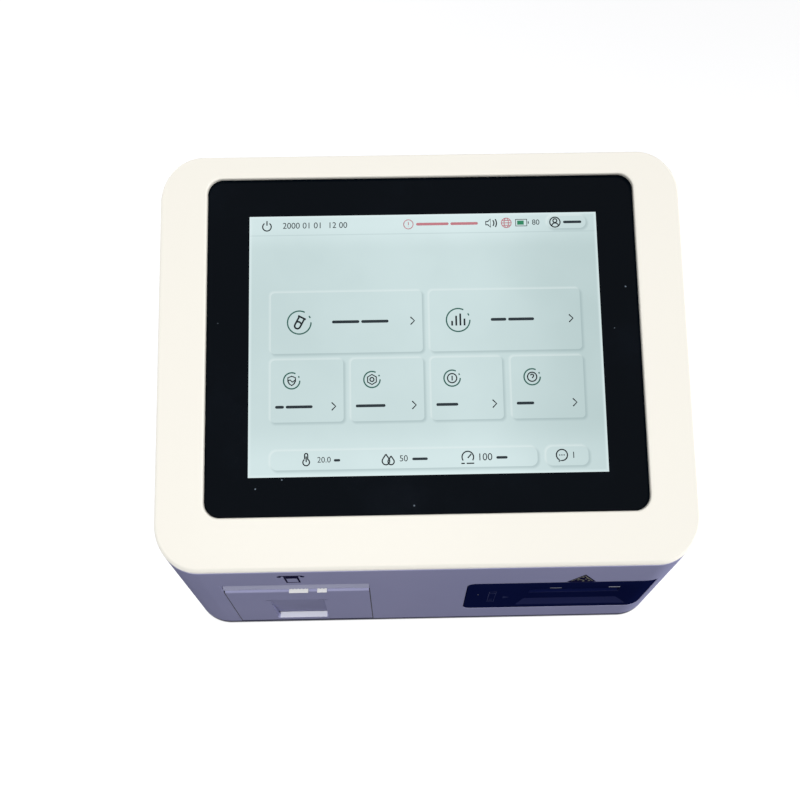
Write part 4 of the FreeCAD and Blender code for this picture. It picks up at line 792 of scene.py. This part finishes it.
# Marks of the screen picture, in millimetres
STATUS_ROW, BIG_ROW, SMALL_ROW, CAPTION_ROW, INFO_ROW = 157.0, 111.0, 84.0, 72.0, 47.6
BIG_ICONS = (-57, 16)
SMALL_ICONS = (-60.5, -24, 12.5, 49)
TUBE_LEAN = math.radians(-28)
CHEVRONS = ((-5, BIG_ROW), (68, BIG_ROW), *((x, CAPTION_ROW) for x in (-41.5, -5, 31.5, 68)))
MESSAGE = (61, 48.2)
SMALL_MARKS = (shield_mark, nut_mark, info_mark, question_mark)
MARKS = ((power_mark, -72, 156.8), (speaker_mark, 31.8, STATUS_ROW), (user_mark, 62.6, STATUS_ROW),
         (thermometer_mark, -54, 46.9), (gauge_mark, 18.6, 48), (message_mark, *MESSAGE))
DROPS = ((-18.2, 47.4, 1.7), (-15.9, 47, 1.4))
CHARGE = (44.9, 48, 156, 158)
BIG_RING, SMALL_RING, DOT = 5.4, 3.7, 0.3
THIN_STROKE, BOLD_STROKE, RING_STROKE, ALERT_STROKE, CELL_STROKE = 0.56, 0.8, 0.62, 0.4, 0.42
# Bars for words: left and right end, middle height, how tall, and where they are split
WORDS = ((-42, -16, BIG_ROW, 1.35, (0.5,)), (31, 51, BIG_ROW, 1.35, (0.38,)),
         (-68, -51, CAPTION_ROW, 1.3, (0.26,)), (-31.5, -18, CAPTION_ROW, 1.3), (5, 15, CAPTION_ROW, 1.3),
         (41.5, 49.5, CAPTION_ROW, 1.3), (66.4, 75, STATUS_ROW, 1.25), (-41.6, -38.7, INFO_ROW, 1.1),
         (-6.4, 0.6, INFO_ROW, 1.15), (31.4, 36.5, INFO_ROW, 1.15))
ALERT_WORDS = (-2.4, 26.5, STATUS_ROW, 1.3, (0.54,))
NUMBERS = (("2000 01 01", -64.6, -47, STATUS_ROW), ("12 00", -42.8, -34.6, STATUS_ROW),
           ("80", 51.9, 55.3, STATUS_ROW), ("20.0", -49, -43, 47.8), ("50", -12, -8.4, 47.8),
           ("100", 23.8, 29.6, 47.8), ("1", 66.1, 66.5, 48))


def show_display():
    """Lays the screen picture and its marks on the cover glass."""
    middle = Matrix.Translation((DISPLAY_SHIFT, DISPLAY_LOW + DISPLAY_HEIGHT / 2, LAYER))
    picture = panel_mesh(DISPLAY_WIDTH, DISPLAY_HEIGHT, GLASS_PLACE @ middle)
    add_piece("display_picture", picture, "screen_picture")

    thin = [chevron(x, y) for x, y in CHEVRONS]
    for mark, x, y in (*MARKS, *((mark, x, SMALL_ROW) for mark, x in zip(SMALL_MARKS, SMALL_ICONS))):
        thin += mark(x, y)
    thin += [drop(*values) for values in DROPS]
    bold = test_tube(BIG_ICONS[0], BIG_ROW, TUBE_LEAN) + chart_mark(BIG_ICONS[1], BIG_ROW)
    rings = []
    for columns, row, radius in ((BIG_ICONS, BIG_ROW, BIG_RING), (SMALL_ICONS, SMALL_ROW, SMALL_RING)):
        for x in columns:
            rings += broken_ring(x, row, radius)
    words = [outline for values in WORDS for outline in word(*values)]
    words += [arc(MESSAGE[0] + across, MESSAGE[1], DOT) for across in (-1, 0, 1)]
    alert = alert_mark(-6, STATUS_ROW) + globe_mark(39.8, STATUS_ROW)
    cell = battery_mark(46.8, STATUS_ROW)

    place = GLASS_PLACE @ Matrix.Translation((0, 0, 2 * LAYER))
    for name, mesh, ink in (("display_lines", line_mesh(thin, THIN_STROKE, place), "ink"),
                            ("display_bold_lines", line_mesh(bold, BOLD_STROKE, place), "ink"),
                            ("display_rings", line_mesh(rings, RING_STROKE, place), "teal_ink"),
                            ("display_bars", shape_mesh(words, place), "word_ink"),
                            ("display_numbers", number_mesh(NUMBERS, place), "ink"),
                            ("display_alert", line_mesh(alert, ALERT_STROKE, place), "alert_ink"),
                            ("display_message", shape_mesh(word(*ALERT_WORDS), place), "alert_ink"),
                            ("display_cell", line_mesh(cell, CELL_STROKE, place), "ink"),
                            ("display_charge", shape_mesh([rectangle(*CHARGE)], place), "green_ink")):
        add_piece(name, mesh, ink)


def show_signs():
    """Prints the signs on the front: the paper sign over the door, and the card signs by the slot."""
    place = FRONT_PLACE @ Matrix.Translation((0, 0, LAYER))
    above = place @ Matrix.Translation((0, 0, LAYER))
    printer = dashes([(-66.9, 69.9), (-56.6, 69.9)],
                     [(-64.6, 69.4), (-64.2, 61.2), (-58.4, 61.2), (-58.9, 69.4)])
    ends = [arc(-67.0, 68.9, 1.0), arc(-56.5, 68.9, 1.0), rectangle(-64.0, -59.2, 66.4, 69.4)]
    sheet = dashes([(-62.9, 65.6), (-60.1, 65.6)])
    card = [(71.6, 64.4), (78.4, 54.2), (75.0, 53.6), (68.2, 53.6), (64.6, 54.2)]
    chip = dashes([(71.4, 62.6), (66.6, 55.6)], [(71.6, 62.6), (76.4, 55.4)], [(69.0, 59.0), (72.4, 56.0)],
                  [(72.6, 60.6), (74.6, 57.4)])
    dots = [arc(x, y, 0.55) for x, y in ((71.2, 60.6), (73, 58), (69.6, 57), (72.2, 55.2), (74.8, 55.6))]
    strip = [(rectangle(30.2, 33.4, 25.5, 41.0), True)] + dashes(
        [(30.2, 38.6), (33.4, 38.6)], [(31.0, 27.6), (32.6, 27.6)], [(31.0, 29.6), (32.6, 29.6)])
    arrow = [(37.4, 34.2), (40.6, 32.4), (37.4, 30.6)]
    for name, mesh, ink in (("paper_sign", line_mesh(printer, 1.1, place), "sign_ink"),
                            ("paper_sign_roll", shape_mesh(ends, place), "sign_ink"),
                            ("paper_sign_sheet", line_mesh(sheet, 0.8, place), "pale_ink"),
                            ("card_sign", shape_mesh([card], place), "sign_ink"),
                            ("card_sign_lines", line_mesh(chip, 0.42, above), "olive_ink"),
                            ("card_sign_dots", shape_mesh(dots, above), "olive_ink"),
                            ("panel_sign", line_mesh(strip, 0.45, place), "panel_ink"),
                            ("panel_arrow", shape_mesh([arrow], place), "panel_ink")):
        add_piece(name, mesh, ink)


def islands(node):
    """Low and high corners of each loose part of a CAD node."""
    solid = bmesh.new()
    solid.from_mesh(frame["nodes"][node].data)
    bmesh.ops.remove_doubles(solid, verts=solid.verts, dist=WELD_REACH)
    left = set(solid.verts)
    boxes = []
    while left:
        ahead = [left.pop()]
        points = []
        while ahead:
            vertex = ahead.pop()
            points.append(vertex.co.copy())
            for edge in vertex.link_edges:
                other = edge.other_vert(vertex)
                if other in left:
                    left.remove(other)
                    ahead.append(other)
        boxes.append([Vector([pick(along) for along in zip(*points)]) for pick in (min, max)])
    solid.free()
    boxes.sort(key=lambda corners: (round(corners[0].x, 4), round(corners[0].y, 4)))
    return boxes


def block(middle, side, depths, heights, level=0.0):
    """Low and high corner of a block about a middle across, with its heights over a level."""
    return (middle - side, depths[0], level + heights[0]), (middle + side, depths[1], level + heights[1])


def in_row(middle, count, pitch):
    """Places of a row about its middle."""
    return [middle + (i - (count - 1) / 2) * pitch for i in range(count)]


# Blocks in the sockets, as half width, depths, and heights over the board or the socket's middle
USB_TONGUE = (5.36, (157.2, 166.56), (2.84, 4.86))
USB_CONTACT = (0.5, (158.5, 166), (2.76, 2.9))
USB_PITCH = 2.3
LAN_LINER = (5.88, (155.02, 155.4), (-3.58, 3.58))
LAN_LAMP = (1.1, (166.7, 167.06), (11.4, 12.7))
LAN_LAMP_SHIFT = 6.2
LAN_PITCH = 1.02
LAN_PATH = ((165.4, 3.3), (163.6, 3.1), (158.6, 0.4), (157.2, 0.2))


def fit_usb_sockets():
    """Plastic tongue and four contacts in each socket."""
    tongues = [block(x, *USB_TONGUE, BOARD_TOP) for x in USB_ACROSS]
    rows = [in_row(x, 4, USB_PITCH) for x in USB_ACROSS]
    contacts = [block(x, *USB_CONTACT, BOARD_TOP) for row in rows for x in row]
    add_piece("usb_tongues", block_mesh(tongues, 0.15), "dark_plastic")
    add_piece("usb_contacts", block_mesh(contacts, 0.03), "brass")


def fit_lan_socket():
    """Eight bent contacts, a dark liner at the back, and a lamp on each side."""
    row = in_row(LAN_ACROSS, 8, LAN_PITCH)
    wires = [[(x, depth, LAN_MIDDLE + up) for depth, up in LAN_PATH] for x in row]
    add_piece("lan_contacts", wire_mesh(wires, 0.2), "brass")
    liner = block(LAN_ACROSS, *LAN_LINER, LAN_MIDDLE)
    add_piece("lan_liner", block_mesh([liner], 0.05), "dark_plastic")
    for name, side, material in (("lan_lamp_left", -1, "green_ink"), ("lan_lamp_right", 1, "amber_lens")):
        lamp = block(LAN_ACROSS + side * LAN_LAMP_SHIFT, *LAN_LAMP, BOARD_TOP)
        add_piece(name, block_mesh([lamp], 0.05), material)


# Turned outlines of the power inlet, as radius and height over the pocket's floor
INLET_PIN = ((0, -0.2), (0.5, -0.24), (0.86, -0.42), (1.05, -0.8), (1.05, -8.9), (0, -8.9))
INLET_RIM = ((3.24, -1.2), (3.24, 0.03), (3.3, 0.06), (3.75, 0.06), (3.8, 0.0), (3.24, -1.2))


def fit_power_inlet():
    """Centre pin and bright rim."""
    place = Matrix.Translation(spot(INLET_ACROSS, POCKET_FLOOR, INLET_MIDDLE)) @ FACING_BACK
    for name, profile in (("inlet_pin", INLET_PIN), ("inlet_rim", INLET_RIM)):
        add_piece(name, turned_mesh(profile, place), "screw_steel")


# Rocker: depth of its pivot under the pocket's floor, place of a mark, and its reach and stroke
PIVOT_SETBACK = 2.0
CROWN_OUT, CROWN_UP = 3.75, 2.25
MARK_REACH, MARK_STROKE = 1.1, 0.4


def mark_switch():
    """A bar on the upper half of the rocker and a ring on the lower half."""
    pivot = Matrix.Translation(spot(SWITCH_ACROSS, POCKET_FLOOR - PIVOT_SETBACK, SWITCH_HEIGHT))
    pivot = pivot @ Matrix.Rotation(ROCKER_TILT, 4, "X")
    marks = []
    for side, lines in ((1, dashes([(0, -MARK_REACH), (0, MARK_REACH)])), (-1, [ring(0, 0, MARK_REACH)])):
        half = Matrix.Translation((0, CROWN_OUT * MM, side * CROWN_UP * MM))
        half = half @ Matrix.Rotation(side * CROWN_TILT, 4, "X") @ FACING_BACK
        marks.append(line_mesh(lines, MARK_STROKE, pivot @ half @ Matrix.Translation((0, 0, LAYER))))
    add_piece("switch_marks", merged(marks), "mark_paint", "rocker")


# Board: skin over the chips, their legs, and the middles and rear setbacks of the rows of small parts
PACKAGE_SKIN = 0.05
LEG_PITCH, LEG_FOOT = 1.5, 0.1
SMALL_ROWS = ((20.6, 26.0), (68.6, 22.0))
SMALL_PITCH = 4.4


def fit_board_parts():
    """Dark packages with metal legs over the main board's chips, and two rows of small parts behind them."""
    low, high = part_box("main_board")
    front, rear = (low.y - front_y) / MM, (high.y - front_y) / MM
    packages = []
    legs = []
    for x, share, half_x, half_d, tall in BOARD_CHIPS:
        depth = front + (rear - front) * share
        reach = half_d + PACKAGE_SKIN
        packages.append(block(x, half_x + PACKAGE_SKIN, (depth - reach, depth + reach),
                              (LEG_FOOT, tall + PACKAGE_SKIN), BOARD_TOP))
        bends = ((0.0, tall * 0.5), (0.7, tall * 0.45), (0.9, LEG_FOOT), (1.5, LEG_FOOT))
        for along in in_row(x, int(half_x / 0.8), LEG_PITCH):
            for side in (-1, 1):
                legs.append([(along, depth + side * (half_d + out), BOARD_TOP + up) for out, up in bends])
    small = [block(along, 1.0, (rear - setback, rear - setback + 1.1), (0, 0.8), BOARD_TOP)
             for middle, setback in SMALL_ROWS for along in in_row(middle, 9, SMALL_PITCH)]
    add_piece("board_packages", block_mesh(packages, 0.25), "dark_plastic")
    add_piece("board_legs", wire_mesh(legs, 0.18), "screw_steel")
    add_piece("board_small_parts", block_mesh(small, 0.12), "ceramic")


# Blocks at the door, as half width, depths and heights
SCOOP_ACROSS = -63.0
# Painted highlight: a pale sheet on the up-facing ledge at the foot of the finger scoop, where the light
# falls
SCOOP_LIP_HIGHLIGHT = (12.4, (0.12, 3.1), (4.19, 4.26))
GAPS_ACROSS = (-95.6, -27.2)
# Painted shade: dark strips behind the gaps beside the door, where the floor would show through
DOOR_GAP_SHADE = (0.18, (0.1, 2.5), (0.3, 47.9))


def dress_door():
    """Pale lip at the foot of the door's finger scoop, a painted highlight, and dark strips in the gaps
    beside the door, painted shade.
    """
    lip = block(SCOOP_ACROSS, *SCOOP_LIP_HIGHLIGHT)
    add_piece("scoop_lip_highlight", block_mesh([lip], 0.03), "lip_painted_highlight", "door")
    gap_shades = [block(x, *DOOR_GAP_SHADE) for x in GAPS_ACROSS]
    add_piece("door_gap_shades", block_mesh(gap_shades, 0.05), "rubber_black")


# Screws: node, radius and height of the head in millimetres, and 1 where it points up
SCREW_HEADS = (("base_screws", 2.9, 1.3, -1), ("bracket_screws", 2.2, 1.2, 1), ("board_screws", 2.2, 1.2, 1))


def cross_outline(reach, half):
    """Outline of a cross, from the reach and the half width of its arms."""
    quarter = [(half, half), (reach, half), (reach, -half)]
    outline = []
    for turn in range(4):
        outline += quarter
        quarter = [(y, -x) for x, y in quarter]
    return outline


def fit_screw_heads():
    """Round domed heads over the plain screws, their cross recesses drawn as dark flat crosses of painted
    shade.
    """
    for node, radius, tall, side in SCREW_HEADS:
        profile = [(0, 0.02), (radius * 0.5, 0.0), (radius * 0.84, -0.14), (radius, -0.5), (radius, -tall),
                   (0, -tall)]
        cross = cross_outline(radius * 0.52, radius * 0.13)
        heads = []
        recess_shades = []
        for low, high in islands(node):
            middle = (low + high) / 2
            end = high.z if side > 0 else low.z
            turn = Matrix.Identity(4) if side > 0 else Matrix.Rotation(math.pi, 4, "X")
            place = Matrix.Translation((middle.x, middle.y, end)) @ turn
            heads.append(turned_mesh(profile, place, 24))
            recess_shades.append(shape_mesh([cross], place @ Matrix.Translation((0, 0, 0.03 * MM))))
        add_piece(node + "_heads", merged(heads), "screw_steel")
        add_piece(node + "_recess_shades", merged(recess_shades), "recess_painted_shade")


# Floor: its width, where it fades from near to far, and its colours and glow, in metres
FLOOR_WIDTH = 60.0
FLOOR_FADE = (0.3, 1.0)
FOOT_SHADOW = (-0.5 * MM, 0.3 * MM)
NEAR_FLOOR = (0.6, 0.6, 0.6, 1.0)
FAR_FLOOR = (0.0, 0.0, 0.0, 1.0)
UNDER_BODY_SHADOW = (0.05, 0.05, 0.08, 1.0)
UNSEEN_FLOOR = (0.2, 0.2, 0.21, 1.0)
UNSEEN_WORLD = (0.16, 0.165, 0.18, 1.0)
WHITE = (1.0, 1.0, 1.0, 1.0)
UNLIT = (0.0, 0.0, 0.0, 1.0)
NEAR_GLOW = 0.55
FAR_GLOW = 1.0


def seen_ray(g):
    """1 where the camera sees the floor or the world, straight, mirrored or through glass."""
    rays = g.add("ShaderNodeLightPath").outputs
    seen = g.math("MAXIMUM", rays["Is Camera Ray"], rays["Is Glossy Ray"])
    return g.math("MAXIMUM", seen, rays["Is Transmission Ray"])


def build_stage():
    """Floor that looks white, stays dark under the body as painted shadow, and lights the object less, and a
    white world.
    """
    mesh = panel_mesh(FLOOR_WIDTH, FLOOR_WIDTH, Matrix.Identity(4))
    floor = new_object("floor", mesh)
    material, g, shader, place = new_material("floor", WHITE, 0.9, Specular_IOR_Level=0.0)
    seen = seen_ray(g)
    reach = g.add("ShaderNodeVectorMath", {0: place}, operation="LENGTH").outputs["Value"]
    far = g.fit(reach, *FLOOR_FADE)
    footprint = {"Vector": place, "Centre Y": (front_y + rear_y) / 2, "Half Width": cad_high.x,
                 "Half Height": (rear_y - front_y) / 2, "Radius": BODY_CORNER}
    # Painted shadow: under the body's footprint the floor is dark and does not glow
    open_floor = g.fit(g.group(ROUNDED_RECTANGLE, footprint)["Distance"], *FOOT_SHADOW)
    seen_colour = g.mix(open_floor, UNDER_BODY_SHADOW, g.mix(far, NEAR_FLOOR, FAR_FLOOR))
    g.put(shader.inputs["Base Color"], g.mix(seen, UNSEEN_FLOOR, seen_colour))
    g.put(shader.inputs["Emission Color"], g.mix(open_floor, UNLIT, WHITE))
    glow = g.fit(far, 0, 1, NEAR_GLOW, FAR_GLOW, "LINEAR")
    g.put(shader.inputs["Emission Strength"], g.math("MULTIPLY", seen, glow))
    mesh.materials.append(material)

    world = bpy.data.worlds.new("world")
    bpy.context.scene.world = world
    world.use_nodes = True
    g = Graph(world.node_tree)
    sky = world.node_tree.nodes["Background"]
    g.put(sky.inputs["Color"], g.mix(seen_ray(g), UNSEEN_WORLD, WHITE))


# Lamps: name, place, aim, size and power
LAMPS = (("top_lamp", (-0.12, -0.62, 1.22), (0, 0, 0.08), 0.6, 12.85),
         ("side_lamp", (1.0, -0.12, 0.13), (0, 0, 0.05), 0.3, 7.0),
         ("rear_lamp", (-0.8, 0.9, 0.5), (0, 0, 0.05), 0.5, 5.0))


def add_lamp(name, place, aim, size, power):
    lamp = bpy.data.lights.new(name, "AREA")
    lamp.shape = "DISK"
    lamp.size = size
    lamp.energy = power
    holder = new_object(name, lamp)
    holder.visible_glossy = False
    holder.location = place
    holder.rotation_euler = (Vector(aim) - Vector(place)).to_track_quat("-Z", "Y").to_euler()


def add_camera():
    lens = bpy.data.cameras.new("camera")
    lens.lens = CAMERA_LENS
    lens.clip_start = 0.01
    camera = new_object("camera", lens)
    camera.location = CAMERA_PLACE
    camera.rotation_euler = Euler([math.radians(turn) for turn in CAMERA_TURN_DEG], "XYZ")
    bpy.context.scene.camera = camera


dress_nodes()
for softened in SOFT_EDGES:
    soften_edges(*softened)
show_display()
show_signs()
fit_usb_sockets()
fit_lan_socket()
fit_power_inlet()
mark_switch()
fit_board_parts()
fit_screw_heads()
dress_door()
build_stage()
for lamp in LAMPS:
    add_lamp(*lamp)
add_camera()
bpy.context.scene.view_settings.view_transform = "Standard"
